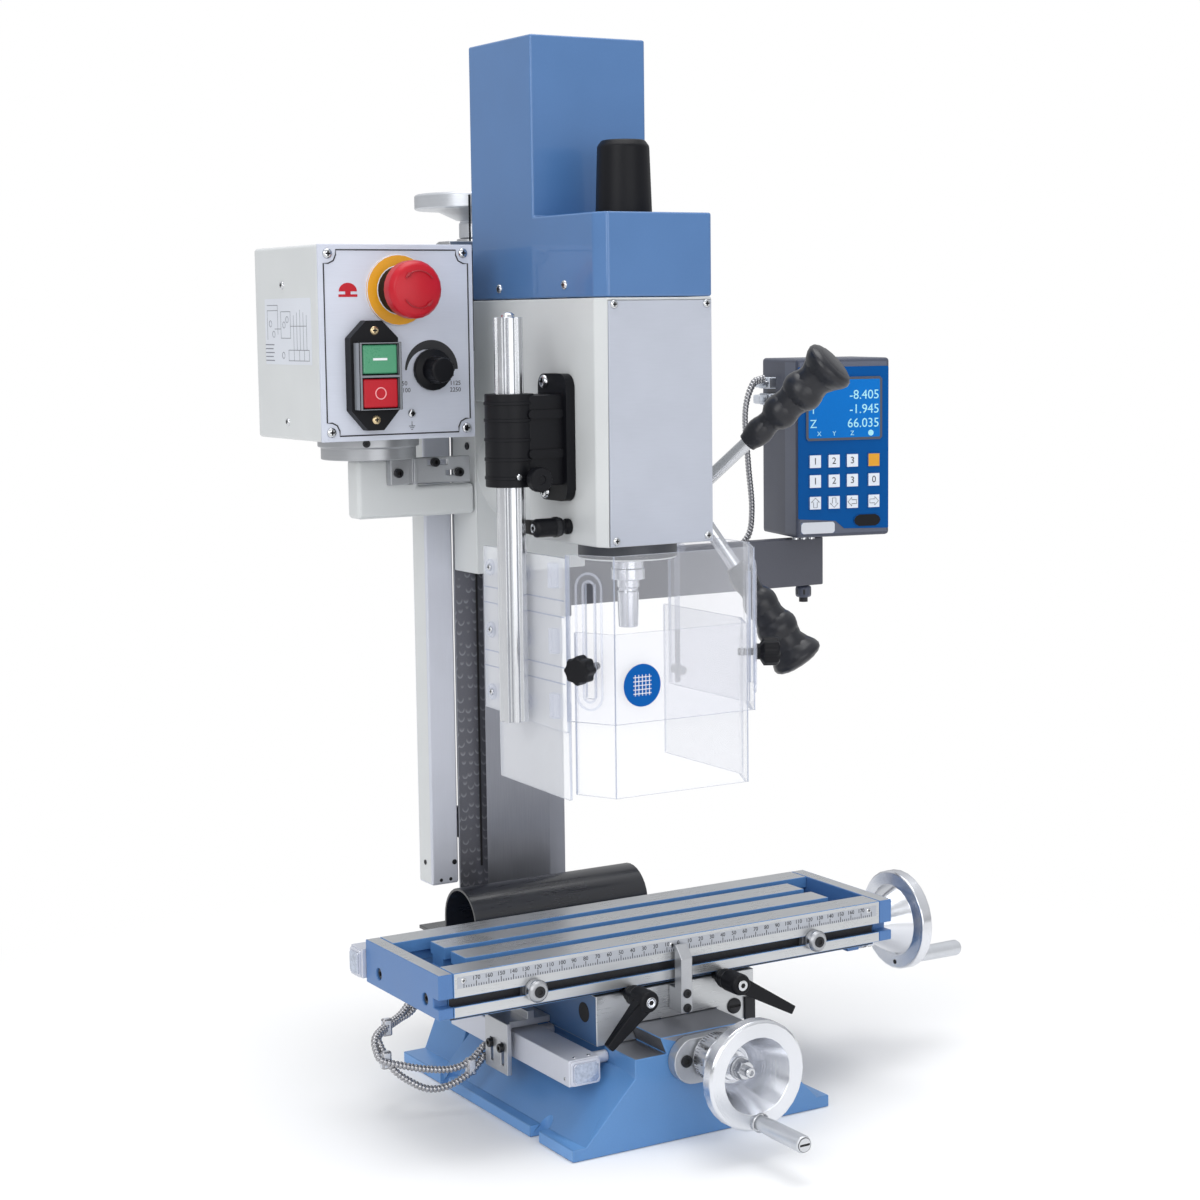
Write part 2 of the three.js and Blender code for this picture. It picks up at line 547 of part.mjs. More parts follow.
function headCasting() {
  const outline = frontOutline(HEAD_HALF, HEAD_FRONT, HEAD_SPLIT, HEAD_CHAMFER);
  const block = prism('z', outline, HEAD_BOTTOM, HEAD_TOP);
  const rear = box(-HEAD_HALF, HEAD_HALF, HEAD_SPLIT - 1, HEAD_BACK, HEAD_STEP, HEAD_TOP);
  const boss = rod([0, 0, 1], [0, 0, 0], BOSS_R, BOSS_Z, HEAD_BOTTOM + 1, 28);
  const posts = [-1, 1].map((s) => box(s * 42 - 5, s * 42 + 5, MOTOR_Y - 20, MOTOR_Y + 20, HEAD_TOP - 1, 660));
  const panelSeat = box(-44.6, 44.6, HEAD_FRONT - 1, HEAD_FRONT + 2, 432, HEAD_TOP - 2);
  const quillBore = rod([0, 0, 1], [0, 0, 0], QUILL_R + 0.6, 400, 575, 28);
  const topBore = rod([0, 0, 1], [0, 0, 0], 12.5, 570, 620, 24);
  const pinion = rod([1, 0, 0], [0, CAPSTAN.y, CAPSTAN.z], 11, -9, 60, 24);
  const tilt = rod([0, 1, 0], [0, 0, TILT_Z], 12.4, 47.6, 62, 24);
  const motorWell = box(-32, 32, MOTOR_Y - 30, MOTOR_Y + 30, HEAD_STEP + 12, HEAD_TOP + 5);
  return cut(join(block, rear, boss, ...posts), panelSeat, quillBore, topBore, pinion, tilt, motorWell);
}

function headCover() {
  const outline = frontOutline(HEAD_HALF, HEAD_FRONT, HEAD_BACK, HEAD_CHAMFER);
  const inner = frontOutline(HEAD_HALF - 2.5, HEAD_FRONT + 2.5, HEAD_BACK - 2.5, HEAD_CHAMFER);
  const low = prism('z', outline, HEAD_TOP + 0.4, COVER_STEP);
  const tower = box(-HEAD_HALF, HEAD_HALF, TOWER_FRONT, HEAD_BACK, COVER_STEP - 1, COVER_TOP);
  const lowHollow = prism('z', inner, HEAD_TOP - 1, COVER_STEP - 2.5);
  const towerHollow = box(-HEAD_HALF + 2.5, HEAD_HALF - 2.5, TOWER_FRONT + 2.5, HEAD_BACK - 2.5,
    COVER_STEP - 5, COVER_TOP - 2.5);
  const drawbarHole = rod([0, 0, 1], [0, 0, 0], 14, COVER_STEP - 5, COVER_STEP + 5, 24);
  return cut(join(low, tower), lowHollow, towerHollow, drawbarHole);
}

function frontPanel() {
  return box(-44.3, 44.3, HEAD_FRONT - 0.2, HEAD_FRONT + 1.7, 434.4, HEAD_TOP - 2.4);
}

function drawbarCap() {
  const profile = [[19, COVER_STEP + GAP], [21, COVER_STEP + GAP], [21, COVER_STEP + 3], [19.4, COVER_STEP + 50],
    [16, COVER_STEP + 54.5], [0, COVER_STEP + 54.5], [0, COVER_STEP + 51.5], [16.5, COVER_STEP + 50]];
  return turned([0, 0, 1], [0, 0, 0], profile, 24);
}

function motorBody() {
  const body = turned([0, 0, 1], [0, MOTOR_Y, 0], [[0, 668], [40, 668], [40, 792], [34, 798], [0, 798]], 24);
  const flange = box(-46, 46, MOTOR_Y - 24, MOTOR_Y + 24, 660.4, 669);
  const hole = rod([0, 0, 1], [0, MOTOR_Y, 0], 7, 650, 676, 20);
  return cut(join(body, flange), hole);
}

function pulley(y, radius, bore, low, shaft) {
  const top = PULLEY.z + PULLEY.h;
  const profile = [[bore, PULLEY.z - 2], [radius + 2.5, PULLEY.z - 2], [radius + 2.5, PULLEY.z], [radius, PULLEY.z],
    [radius, top], [radius + 2.5, top], [radius + 2.5, top + 2], [bore, top + 2]];
  const wheel = turned([0, 0, 1], [0, y, 0], profile, 24);
  return shaft ? join(wheel, rod([0, 0, 1], [0, y, 0], shaft, low, 675, 20)) : wheel;
}

function driveBelt() {
  const loop = (extra) => {
    const [big, small] = [PULLEY.big + extra, PULLEY.small + extra];
    const lean = Math.asin((big - small) / MOTOR_Y);
    const arc = (radius, y, from, to, steps) => [...Array(steps + 1).keys()].map((i) => {
      const a = from + ((to - from) * i) / steps;
      return [radius * Math.cos(a), y + radius * Math.sin(a)];
    });
    return [...arc(small, MOTOR_Y, lean, Math.PI - lean, 14), ...arc(big, 0, Math.PI - lean, 2 * Math.PI + lean, 24)];
  };
  return cut(prism('z', loop(3), PULLEY.z + 1, PULLEY.z + PULLEY.h - 1),
    prism('z', loop(0.5), PULLEY.z - 2, PULLEY.z + PULLEY.h + 2));
}

function quillBody() {
  const body = rod([0, 0, 1], [0, 0, 0], QUILL_R, BOSS_Z + 0.5, 545, 28);
  const bore = rod([0, 0, 1], [0, 0, 0], 12.5, 400, 560, 24);
  const rack = box(-8, 8, 22, 30, 440, 527);
  return cut(body, bore, rack);
}

function spindleBody() {
  const profile = [[0, 368], [7.3, 368], [8.3, 395], [7.4, 395.4], [7.4, 398], [8.7, 398.4], [8.7, 404],
    [12.9, 404.4], [12.9, 412.4], [12, 412.8], [12, 560], [9, 562], [9, 684], [5.5, 684], [5.5, 700], [0, 700]];
  return turned([0, 0, 1], [0, 0, 0], profile, 20);
}

function feedCapstan() {
  const { x, y, z, first, lean, reach } = CAPSTAN;
  const hub = turned([1, 0, 0], [0, y, z], [[0, -7], [10.4, -7], [10.4, 7], [9, 8], [9, 50.9], [22, 50.9],
    [22, 60], [17, 61], [17, 84], [14, 87], [0, 87]], 24);
  const grip = [[0, 62], [7.4, 62], [8.4, 66], [10.3, 75], [9.3, 85], [13.5, 97], [12.6, 107], [16, 119],
    [13.8, 131], [17.5, 139], [20.8, 145], [19.5, 149], [14, 151.5], [0, 152]];
  const handle = [[0, 0], [5, 0], [5, 63], [0, 63]];
  const arms = [0, 120, 240].flatMap((turn) => {
    const a = degrees(first + turn);
    const b = degrees(lean);
    const axis = [Math.sin(b), Math.cos(b) * Math.cos(a), Math.cos(b) * Math.sin(a)];
    const scale = reach / 148.5;
    const fit = (profile) => profile.map(([r, h]) => [r, h * scale]);
    return [turned(axis, [x, y, z], fit(handle), 8), turned(axis, [x, y, z], fit(grip), 12)];
  });
  return join(hub, ...arms);
}

function quillLock() {
  const z = 447;
  const hub = turned([-1, 0, 0], [0, 0, z], [[0, 50.6], [6, 50.6], [6, 54], [4.5, 54], [4.5, 57], [7, 58], [7, 79],
    [5, 81], [0, 81]], 20);
  const arm = hull([[-71, 2, z - 5.5], [-79.5, 2, z - 5.5], [-71, 2, z + 5.5], [-79.5, 2, z + 5.5],
    [-72.5, 48, z - 3.5], [-78.5, 48, z - 3.5], [-72.5, 48, z + 3.5], [-78.5, 48, z + 3.5]]);
  return join(hub, arm);
}

// ---------- guard ----------
function rodHolder() {
  const plate = box(-58, -HEAD_HALF - GAP, -11, 31.5, 466, 560);
  const web = box(-93, -57, -5, 29, 478, 545);
  const sleeve = rod([0, 0, 1], [ROD.x, ROD.y, 0], 18.5, 478, 546, 24);
  const bore = rod([0, 0, 1], [ROD.x, ROD.y, 0], ROD.r + 0.5, 470, 560, 24);
  return cut(join(plate, web, sleeve), bore);
}

function guardRod() {
  const count = 48;
  const outline = [...Array(count).keys()].map((i) => {
    const a = (2 * Math.PI * i) / count;
    const r = ROD.r - (i % 6 < 2 ? 2 : 0);
    return [ROD.x + r * Math.cos(a), ROD.y + r * Math.sin(a)];
  });
  const profile = prism('z', outline, ROD.low, ROD.high);
  return join(profile, turned([0, 0, 1], [ROD.x, ROD.y, 0], [[0, ROD.high - 1], [5.5, ROD.high - 1],
    [5, ROD.high + 2], [3, ROD.high + 3.6], [0, ROD.high + 4]], 16));
}

function guardLeftPlate() {
  const plate = prism('x', [[-43, 300], [82, 303], [82, 428], [-43, 428]], -80, -76);
  const skirt = prism('x', [[-40, 249], [66, 251], [66, 322], [-40, 322]], -76.5, -73.5);
  return join(plate, skirt);
}

// A bent sheet of even thickness between two nested outlines, open at the back.
function bentSheet(side, corner, front, back, thick, low, high) {
  const step = 0.54 * thick;
  const outer = [[-side, back[0]], [-side, -45 + 0], [-corner, -front], [corner, -front], [side, -45], [side, back[1]]];
  const inner = [[side - thick, back[1]], [side - thick, -45 + step], [corner - step, -front + thick],
    [-corner + step, -front + thick], [-side + thick, -45 + step], [-side + thick, back[0]]];
  return prism('z', [...outer, ...inner], low, high);
}

const KNOB_Z = 350;
const CHAMFER = new THREE.Vector3(-0.873, -0.488, 0);   // outward normal of the left chamfer sheet

function chamferFrame(side) {
  const normal = new THREE.Vector3(side * -CHAMFER.x, CHAMFER.y, 0).normalize();
  const centre = new THREE.Vector3(side * 71.2, -62, 0);
  return { normal, centre };
}

function slotCutter(side, low, high) {
  const { normal, centre } = chamferFrame(side);
  const across = new THREE.Vector3(-normal.y, normal.x, 0);
  const points = [];
  for (const n of [-9, 9]) {
    for (const t of [-4, 4]) {
      for (const z of [low, high]) {
        const p = centre.clone().addScaledVector(normal, n).addScaledVector(across, t);
        points.push([p.x, p.y, z]);
      }
    }
  }
  return hull(points);
}

function guardFrontPanel() {
  const sheet = bentSheet(80, 60.5, 80, [-44.4, 64], GUARD_T, GUARD_BOTTOM, GUARD_TOP);
  return cut(sheet, slotCutter(-1, 327, 411), slotCutter(1, 327, 411));
}

function guardLowerPanel() {
  const sheet = bentSheet(73, 57.6, 75, [-43, 62], 3, 254, 374);
  const hole = (side) => {
    const { normal, centre } = chamferFrame(side);
    return rod([normal.x, normal.y, 0], [centre.x, centre.y, KNOB_Z], 3.4, -15, 5, 12);
  };
  return cut(sheet, hole(-1), hole(1));
}

function guardKnob(side) {
  const { normal, centre } = chamferFrame(side);
  const start = 1.2;
  const profile = [[0, -11], [2.8, -11], [2.8, start], [6, start], [6, start + 4], [10.5, start + 6],
    [10.5, start + 17], [8.5, start + 19], [0, start + 19]];
  return turned([normal.x, normal.y, 0], [centre.x, centre.y, KNOB_Z], profile, 16);
}

// ---------- display ----------
function displayCase() {
  const { x, y, w, d, low, high, yaw } = DISPLAY;
  const geometry = new THREE.BoxGeometry(w, d, high - low);
  geometry.translate(0, d / 2, 0);
  geometry.rotateZ(degrees(yaw));
  geometry.translate(x, y, (low + high) / 2);
  const bolt = rod([0, 0, 1], [DISPLAY_PIVOT.x, DISPLAY_PIVOT.y, 0], 4, 345, low + 4, 16);
  const nut = rod([0, 0, 1], [DISPLAY_PIVOT.x, DISPLAY_PIVOT.y, 0], 8, 349, 359.6, 6);
  const washer = rod([0, 0, 1], [DISPLAY_PIVOT.x, DISPLAY_PIVOT.y, 0], 9, 403.3, low + 1, 20);
  return join(solid(geometry), bolt, nut, washer);
}

const DISPLAY_LEADS = [[274, 214, 545], [262, 214, 540], [254, 214, 515], [257, 214, 470], [262, 216, 430],
  [258, 218, 404], [235, 219, 392], [180, 219, 386], [120, 219, 384], [64, 219, 384]];
const CONDUIT_A = [[-106, 42, 47.5], [-106, 45.5, 47], [-109.6, 48, 42], [-116, 48.6, 36.5], [-126.3, 50, 32.2],
  [-136.8, 53, 31.2], [-151.4, 58, 32.9], [-165.3, 64, 36.1], [-179.9, 72, 40.5], [-181, 80, 45.7],
  [-179.5, 86, 52.5], [-172.8, 92, 56.7], [-159.6, 100, 59.6], [-144.9, 108, 63.5], [-130, 116, 76],
  [-118, 122, 97]];
const CONDUIT_B = [[-106, 42, 39.5], [-106, 45.5, 38.6], [-110, 48, 32.5], [-118.5, 48, 26.1], [-130, 50, 20.2],
  [-141.5, 53, 17.1], [-152.2, 57, 18.3], [-164, 62, 25.4], [-171.7, 68, 32.5], [-173.5, 76, 39.4],
  [-176.2, 83, 48.6], [-174.5, 90, 53.5], [-163.8, 98, 56.3], [-149.1, 106, 59], [-133.6, 112, 63.5],
  [-121, 118, 78], [-114, 122, 97]];
const TIES = [[-176, 74, 40], [-163.5, 98, 57.5]];

function scaleConduits() {
  const band = ([x, y, z]) => box(x - 8, x + 8, y - 4, y + 4, z - 5, z + 5);
  return join(sweep(CONDUIT_A, 2.8, 36), sweep(CONDUIT_B, 2.8, 36), ...TIES.map(band));
}

// ---------- assembly ----------
add('base_casting', baseCasting(), 'blue');
add('y_bearing_flange', yBearingFlange(), 'aluminium');
columnParts();
add('y_scale', yScale(), 'aluminium');
add('way_cover', wayCover(), 'rubber');
add('scale_conduits', scaleConduits(), 'steel');
add('display_leads', sweep(DISPLAY_LEADS, 3.4, 36), 'steel');
add('saddle', saddleBody(), 'ground');
add('table_pointer', tablePointer(), 'ground');
add('y_scale_reader', yScaleReader(), 'aluminium');
add('left_clamp_lever', clampLever(-43.5, [-76.5, 75.8]), 'black');
add('right_clamp_lever', clampLever(37, [86, 78]), 'black');
add('table', tableBody(), 'ground');
add('table_end_left', tableEnd(-1), 'blue');
add('table_end_right', tableEnd(1), 'blue');
add('x_scale', box(-203, 203, TABLE_BACK + GAP, 73.5, 112.5, 135), 'aluminium');
add('left_stop', tableStop(-123.5), 'steel');
add('right_stop', tableStop(123.5), 'steel');
xDrive();
yDrive();
zDrive();
add('z_slide', zSlide(), 'white');
add('control_arm', controlArm(), 'white');
add('swivel_disc', swivelDisc(), 'aluminium');
add('z_scale_reader', zScaleReader(), 'aluminium');
add('control_box', controlBoxShell(), 'white');
add('control_panel', controlPanel(), 'panel');
add('switch_plate', switchPlate(), 'black');
controlButtons();
add('head_casting', headCasting(), 'white');
add('front_panel', frontPanel(), 'panel');
add('head_cover', headCover(), 'blue');
add('drawbar_cap', drawbarCap(), 'black');
add('motor', motorBody(), 'black');
add('motor_pulley', pulley(MOTOR_Y, PULLEY.small, 2, 615.5, 6), 'steel');
add('spindle_pulley', pulley(0, PULLEY.big, 9.5, 0, 0), 'steel');
add('drive_belt', driveBelt(), 'rubber');
add('quill', quillBody(), 'steel');
add('spindle', spindleBody(), 'steel');
add('feed_capstan', feedCapstan(), 'black');
add('quill_lock_lever', quillLock(), 'black');
add('rod_holder', rodHolder(), 'black');
add('guard_rod', guardRod(), 'aluminium');
add('guard_left_plate', guardLeftPlate(), 'clear');
add('guard_front_panel', guardFrontPanel(), 'clear');
add('guard_lower_panel', guardLowerPanel(), 'clear');
add('guard_knob_left', guardKnob(-1), 'black');
add('guard_knob_right', guardKnob(1), 'black');
add('display_case', displayCase(), 'grey');

export default machine;
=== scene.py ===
"""Looks, light and camera for the vertical milling machine.

Shapes are drawn in millimetres in the row frame and turned into metres when a piece is made.
"""
import json
import math

import bmesh
import bpy
from mathutils import Matrix, Vector

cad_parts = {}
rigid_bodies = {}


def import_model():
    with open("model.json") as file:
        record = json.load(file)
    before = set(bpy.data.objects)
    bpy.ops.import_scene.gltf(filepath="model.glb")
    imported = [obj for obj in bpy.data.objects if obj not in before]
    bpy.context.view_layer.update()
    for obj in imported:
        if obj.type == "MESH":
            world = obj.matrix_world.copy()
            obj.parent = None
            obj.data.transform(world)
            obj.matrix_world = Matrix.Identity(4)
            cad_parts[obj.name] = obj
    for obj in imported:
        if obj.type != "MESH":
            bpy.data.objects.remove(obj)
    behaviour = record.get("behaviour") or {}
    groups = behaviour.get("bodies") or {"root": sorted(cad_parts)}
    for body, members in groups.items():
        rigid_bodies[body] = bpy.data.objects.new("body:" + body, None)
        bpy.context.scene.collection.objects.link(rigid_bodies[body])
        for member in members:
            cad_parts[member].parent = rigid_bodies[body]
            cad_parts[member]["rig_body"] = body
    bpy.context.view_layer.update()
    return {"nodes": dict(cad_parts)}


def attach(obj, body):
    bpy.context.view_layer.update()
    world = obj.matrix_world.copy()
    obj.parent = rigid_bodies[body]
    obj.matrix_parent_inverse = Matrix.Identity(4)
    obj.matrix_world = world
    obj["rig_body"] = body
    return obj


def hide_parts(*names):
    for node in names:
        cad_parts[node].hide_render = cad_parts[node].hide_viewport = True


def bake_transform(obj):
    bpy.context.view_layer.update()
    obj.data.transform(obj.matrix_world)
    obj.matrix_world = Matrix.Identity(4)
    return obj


MM = 0.001
FRONT, LEFT, RIGHT, UP = (0, -1, 0), (-1, 0, 0), (1, 0, 0), (0, 0, 1)
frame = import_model()
bpy.context.scene.view_settings.view_transform = "Standard"


# ---------------------------------------------------------------- materials
def linear(rgb):
    return [(v / 255 / 12.92 if v < 11 else ((v / 255 + 0.055) / 1.055) ** 2.4) for v in rgb] + [1.0]


def add(tree, kind, inputs=None, **attrs):
    n = tree.nodes.new("ShaderNode" + kind)
    for k, v in attrs.items():
        setattr(n, k, v)
    for k, v in (inputs or {}).items():
        if isinstance(v, bpy.types.NodeSocket):
            tree.links.new(v, n.inputs[k])
        else:
            n.inputs[k].default_value = v
    return n


def mix(tree, fac, a, b):
    n = add(tree, "Mix", {0: fac, 6: a, 7: b}, data_type="RGBA")
    return n.outputs[2]


def noise(tree, at, grain, detail=3.0):
    stretched = add(tree, "VectorMath", {0: at, 1: grain}, operation="MULTIPLY").outputs[0]
    return add(tree, "TexNoise", {"Vector": stretched, "Scale": 1.0, "Detail": detail}).outputs[0]


def spread(tree, value, low, high):
    return add(tree, "MapRange", {0: value, 1: 0.3, 2: 0.7, 3: low, 4: high}).outputs[0]


MATS = {}


def material(name, rgb, rough, metal=0.0, vary=0.08, grain=(900, 900, 900), bump=0.08, wander=0.06,
             turned=False,
             coat=0.0, extra=None, **sockets):
    m = bpy.data.materials.new(name)
    m.use_nodes = True
    t = m.node_tree
    shader = t.nodes["Principled BSDF"]
    at = add(t, "TexCoord").outputs["Object"]
    fine_at = at
    if turned:
        x, y, z = add(t, "SeparateXYZ", {0: at}).outputs
        flat = add(t, "CombineXYZ", {0: x, 1: y}).outputs[0]
        radius = add(t, "VectorMath", {0: flat}, operation="LENGTH").outputs["Value"]
        fine_at = add(t, "CombineXYZ", {0: radius, 1: z}).outputs[0]
    fine = noise(t, fine_at, grain)
    broad = noise(t, at, (28, 28, 28), 2.0)
    base = linear(rgb)
    dark = [c * (1 - vary) for c in base[:3]] + [1.0]
    light = [min(1.0, c * (1 + vary)) for c in base[:3]] + [1.0]
    colour = mix(t, spread(t, fine, 0.0, 1.0), dark, light)
    cloudy = mix(t, spread(t, broad, 0.0, 1.0), [c * 0.94 for c in base[:3]] + [1.0], light)
    colour = mix(t, 0.5, colour, cloudy)
    if extra:
        colour = extra(t, at, colour)
    t.links.new(colour, shader.inputs["Base Color"])
    both = add(t, "Math", {0: fine, 1: broad}, operation="ADD").outputs[0]
    half = add(t, "Math", {0: both, 1: 0.5}, operation="MULTIPLY").outputs[0]
    t.links.new(spread(t, half, max(0.02, rough - wander), rough + wander), shader.inputs["Roughness"])
    bumped = add(t, "Bump", {"Strength": bump, "Distance": 0.0002, "Height": fine})
    t.links.new(bumped.outputs[0], shader.inputs["Normal"])
    if sockets.get("Anisotropic"):
        t.links.new(add(t, "Tangent", direction_type="RADIAL", axis="Z").outputs[0], shader.inputs["Tangent"])
    shader.inputs["Metallic"].default_value = metal
    shader.inputs["Coat Weight"].default_value = coat
    shader.inputs["Coat Roughness"].default_value = 0.12
    for k, v in sockets.items():
        shader.inputs[k.replace("_", " ")].default_value = v
    MATS[name] = m
    return m


def moons(t, at, colour):
    """Scraped crescents: the lower part of a ring round each cell's centre."""
    flat = add(t, "VectorMath", {0: at, 1: (150, 0, 110)}, operation="MULTIPLY").outputs[0]
    cells = add(t, "TexVoronoi", {"Vector": flat, "Scale": 1.0, "Randomness": 0.45})
    ring = add(t, "MapRange", {0: cells.outputs["Distance"], 1: 0.25, 2: 0.42, 3: 0.0, 4: 1.0})
    away = add(t, "MapRange", {0: cells.outputs["Distance"], 1: 0.42, 2: 0.5, 3: 1.0, 4: 0.0})
    down = add(t, "VectorMath", {0: flat, 1: cells.outputs["Position"]}, operation="SUBTRACT").outputs[0]
    z = add(t, "SeparateXYZ", {0: down}).outputs[2]
    below = add(t, "MapRange", {0: z, 1: 0.05, 2: -0.2, 3: 0.0, 4: 1.0}).outputs[0]
    mask = add(t, "Math", {0: ring.outputs[0], 1: away.outputs[0]}, operation="MULTIPLY").outputs[0]
    mask = add(t, "Math", {0: mask, 1: below}, operation="MULTIPLY").outputs[0]
    scraped = mix(t, mask, colour, linear((140, 141, 147)))
    x = add(t, "SeparateXYZ", {0: at}).outputs[0]
    plain_side = add(t, "MapRange", {0: x, 1: -0.021, 2: -0.019}).outputs[0]
    return mix(t, plain_side, scraped, linear((150, 152, 160)))


def speckle(t, at, colour):
    """Dark pits and stains of a cast or ground face."""
    pits = noise(t, at, (420, 420, 420), 5.0)
    mask = add(t, "MapRange", {0: pits, 1: 0.56, 2: 0.7, 3: 0.0, 4: 0.55}).outputs[0]
    return mix(t, mask, colour, linear((60, 58, 56)))


material("blue_paint", (72, 114, 166), 0.36, vary=0.03, bump=0.02, coat=0.6, Coat_Roughness=0.03)
material("base_blue", (84, 131, 184), 0.36, vary=0.05, bump=0.1, coat=0.12)
# a lighter copy of the base blue: painted light on the foot, where the table keeps the light off it
material("foot_blue", (98, 148, 204), 0.36, vary=0.05, bump=0.1, coat=0.12)
material("end_blue", (72, 114, 168), 0.38, vary=0.05, bump=0.08, coat=0.08)
# a darker copy of the blue paint: painted shade in the table's slots and on the saddle's sides, back and
# underside
material("slot_blue", (56, 90, 132), 0.4, vary=0.1, bump=0.1)
material("white_paint", (204, 207, 208), 0.38, vary=0.02, bump=0.04, coat=0.1)
material("panel", (201, 206, 219), 0.42, vary=0.03, grain=(60, 900, 900), bump=0.03)
# a darker copy of the panel finish: painted shade on the head's front panel
material("head_plate", (178, 183, 195), 0.42, vary=0.03, grain=(60, 900, 900), bump=0.03)
material("ground_iron", (196, 198, 200), 0.3, metal=0.8, vary=0.07, grain=(60, 1500, 1500), bump=0.08)
material("bed_iron", (100, 102, 108), 0.42, metal=0.5, vary=0.3, grain=(1300, 40, 1300), bump=0.12,
         extra=speckle)
material("rail_iron", (142, 144, 152), 0.35, metal=0.75, vary=0.1, grain=(1400, 1400, 40), bump=0.1)
material("moon_iron", (100, 101, 108), 0.42, metal=0.6, vary=0.12, bump=0.15, extra=moons)
# dark speckled cast iron; on the table it also serves as painted shade in the front groove
material("dark_iron", (68, 68, 71), 0.5, metal=0.55, vary=0.2, bump=0.35, extra=speckle)
material("aluminium", (182, 184, 188), 0.34, metal=0.75, vary=0.06, grain=(1200, 60, 1200), bump=0.06)
material("satin_aluminium", (203, 206, 216), 0.42, metal=0.35, vary=0.03, grain=(1200, 1200, 30), bump=0.04)
material("turned_aluminium", (222, 224, 229), 0.24, metal=1.0, vary=0.06, grain=(2600, 2600, 0), bump=0.1,
         turned=True,
         Anisotropic=0.8, Anisotropic_Rotation=0.25)
material("turned_face", (204, 207, 212), 0.34, metal=0.65, vary=0.05, grain=(1500, 1500, 0), bump=0.06,
         turned=True)
material("swivel_iron", (168, 170, 174), 0.36, metal=0.7, vary=0.06, grain=(1500, 1500, 0), bump=0.08,
         turned=True)
material("boss_iron", (74, 76, 82), 0.4, metal=0.4, vary=0.15, bump=0.12)
material("arm_paint", (80, 82, 92), 0.42, vary=0.08, bump=0.14)
material("steel", (200, 202, 206), 0.22, metal=0.95, vary=0.08, grain=(1500, 1500, 60), bump=0.06)
material("chrome", (205, 207, 210), 0.14, metal=1.0, vary=0.05, bump=0.03)
material("black_plastic", (13, 14, 19), 0.44, vary=0.12, bump=0.12, Specular_IOR_Level=0.2)
material("black_steel", (30, 31, 35), 0.36, metal=0.35, vary=0.15, bump=0.1)
material("rubber", (19, 21, 29), 0.34, vary=0.18, grain=(500, 500, 500), bump=0.1)
material("cover_rubber", (24, 26, 33), 0.3, vary=0.2, grain=(60, 60, 900), bump=0.12, coat=0.3)
material("grey_plastic", (66, 71, 87), 0.42, vary=0.07, bump=0.14)
# a lighter copy of the case plastic: painted light on the front bezel, which turns towards the light
material("bezel_plastic", (84, 90, 107), 0.42, vary=0.07, bump=0.14)
material("red_plastic", (180, 22, 38), 0.32, vary=0.06, bump=0.05, Specular_IOR_Level=0.3)
material("red_dark", (150, 22, 34), 0.3, vary=0.06, bump=0.05)
material("yellow", (222, 156, 14), 0.4, vary=0.05, bump=0.05)
material("green_plastic", (68, 146, 108), 0.3, vary=0.05, bump=0.05, coat=0.2)
material("key_frame", (120, 124, 130), 0.16, vary=0.1, bump=0.05, coat=0.6)
material("screen_blue", (0, 80, 150), 0.45, vary=0.04, bump=0.04, Specular_IOR_Level=0.08)
material("lcd", (10, 112, 196), 0.4, vary=0.05, bump=0.02, Specular_IOR_Level=0.08)
material("lcd_digit", (165, 228, 240), 0.4, vary=0.04, bump=0.02)
material("key_white", (226, 232, 242), 0.4, vary=0.03, bump=0.05)
material("white_ink", (232, 234, 236), 0.5, vary=0.03, bump=0.02)
material("pink_ink", (238, 168, 172), 0.5, vary=0.03, bump=0.02)
material("grey_ink", (120, 124, 132), 0.5, vary=0.05, bump=0.02)
material("black_ink", (34, 34, 38), 0.5, vary=0.1, bump=0.02)
material("label", (208, 212, 220), 0.4, vary=0.03, bump=0.03)
material("sticker", (0, 86, 164), 0.45, vary=0.04, bump=0.03, Specular_IOR_Level=0.1)
material("rule", (176, 180, 188), 0.36, metal=0.4, vary=0.04, grain=(60, 900, 900), bump=0.04)
material("conduit", (172, 172, 175), 0.26, metal=0.85, vary=0.1, bump=0.06)
material("brass", (208, 188, 150), 0.25, metal=0.9, vary=0.1, bump=0.04)
material("hollow", (16, 16, 18), 0.7, vary=0.2, bump=0.1)
material("clear_cap", (158, 167, 184), 0.14, metal=0.7, vary=0.5, grain=(420, 420, 420), bump=1.0, coat=0.6)


def clear(name, rgb, tint, least, most):
    """Clear sheet: what is behind it shows, less and less as the sheet turns edge on."""
    m = bpy.data.materials.new(name)
    m.use_nodes = True
    t = m.node_tree
    shader = t.nodes["Principled BSDF"]
    shader.inputs["Base Color"].default_value = linear(rgb)
    shader.inputs["Roughness"].default_value = 0.08
    shader.inputs["Metallic"].default_value = 0.0
    facing = add(t, "LayerWeight", {"Blend": 0.5}).outputs["Facing"]
    edge = add(t, "Math", {0: facing, 1: 4.0}, operation="POWER").outputs[0]
    share = add(t, "MapRange", {0: edge, 1: 0.0, 2: 1.0, 3: least, 4: most}).outputs[0]
    see = add(t, "BsdfTransparent", {0: linear(tint)}).outputs[0]
    both = add(t, "MixShader", {0: share, 1: see, 2: shader.outputs[0]}).outputs[0]
    t.links.new(both, t.nodes["Material Output"].inputs[0])
    MATS[name] = m


clear("acrylic", (250, 252, 255), (254, 254, 255), 0.1, 0.75)
clear("acrylic_low", (250, 252, 255), (254, 254, 255), 0.17, 0.75)
clear("acrylic_plate", (250, 252, 255), (254, 254, 255), 0.32, 0.8)
clear("acrylic_edge", (190, 196, 210), (240, 243, 250), 0.45, 0.9)
clear("acrylic_boss", (226, 229, 238), (250, 251, 254), 0.18, 0.8)


# ---------------------------------------------------------------- building
def spot(at, z=UP, x=None):
    """A placing whose local Z looks along z, in millimetres."""
    z = Vector(z).normalized()
    x = Vector(x) if x else (Vector(RIGHT) if abs(z.x) < 0.9 else Vector((0, 1, 0)))
    y = z.cross(x).normalized()
    x = y.cross(z).normalized()
    m = Matrix((x, y, z)).transposed().to_4x4()
    m.translation = Vector(at)
    return m


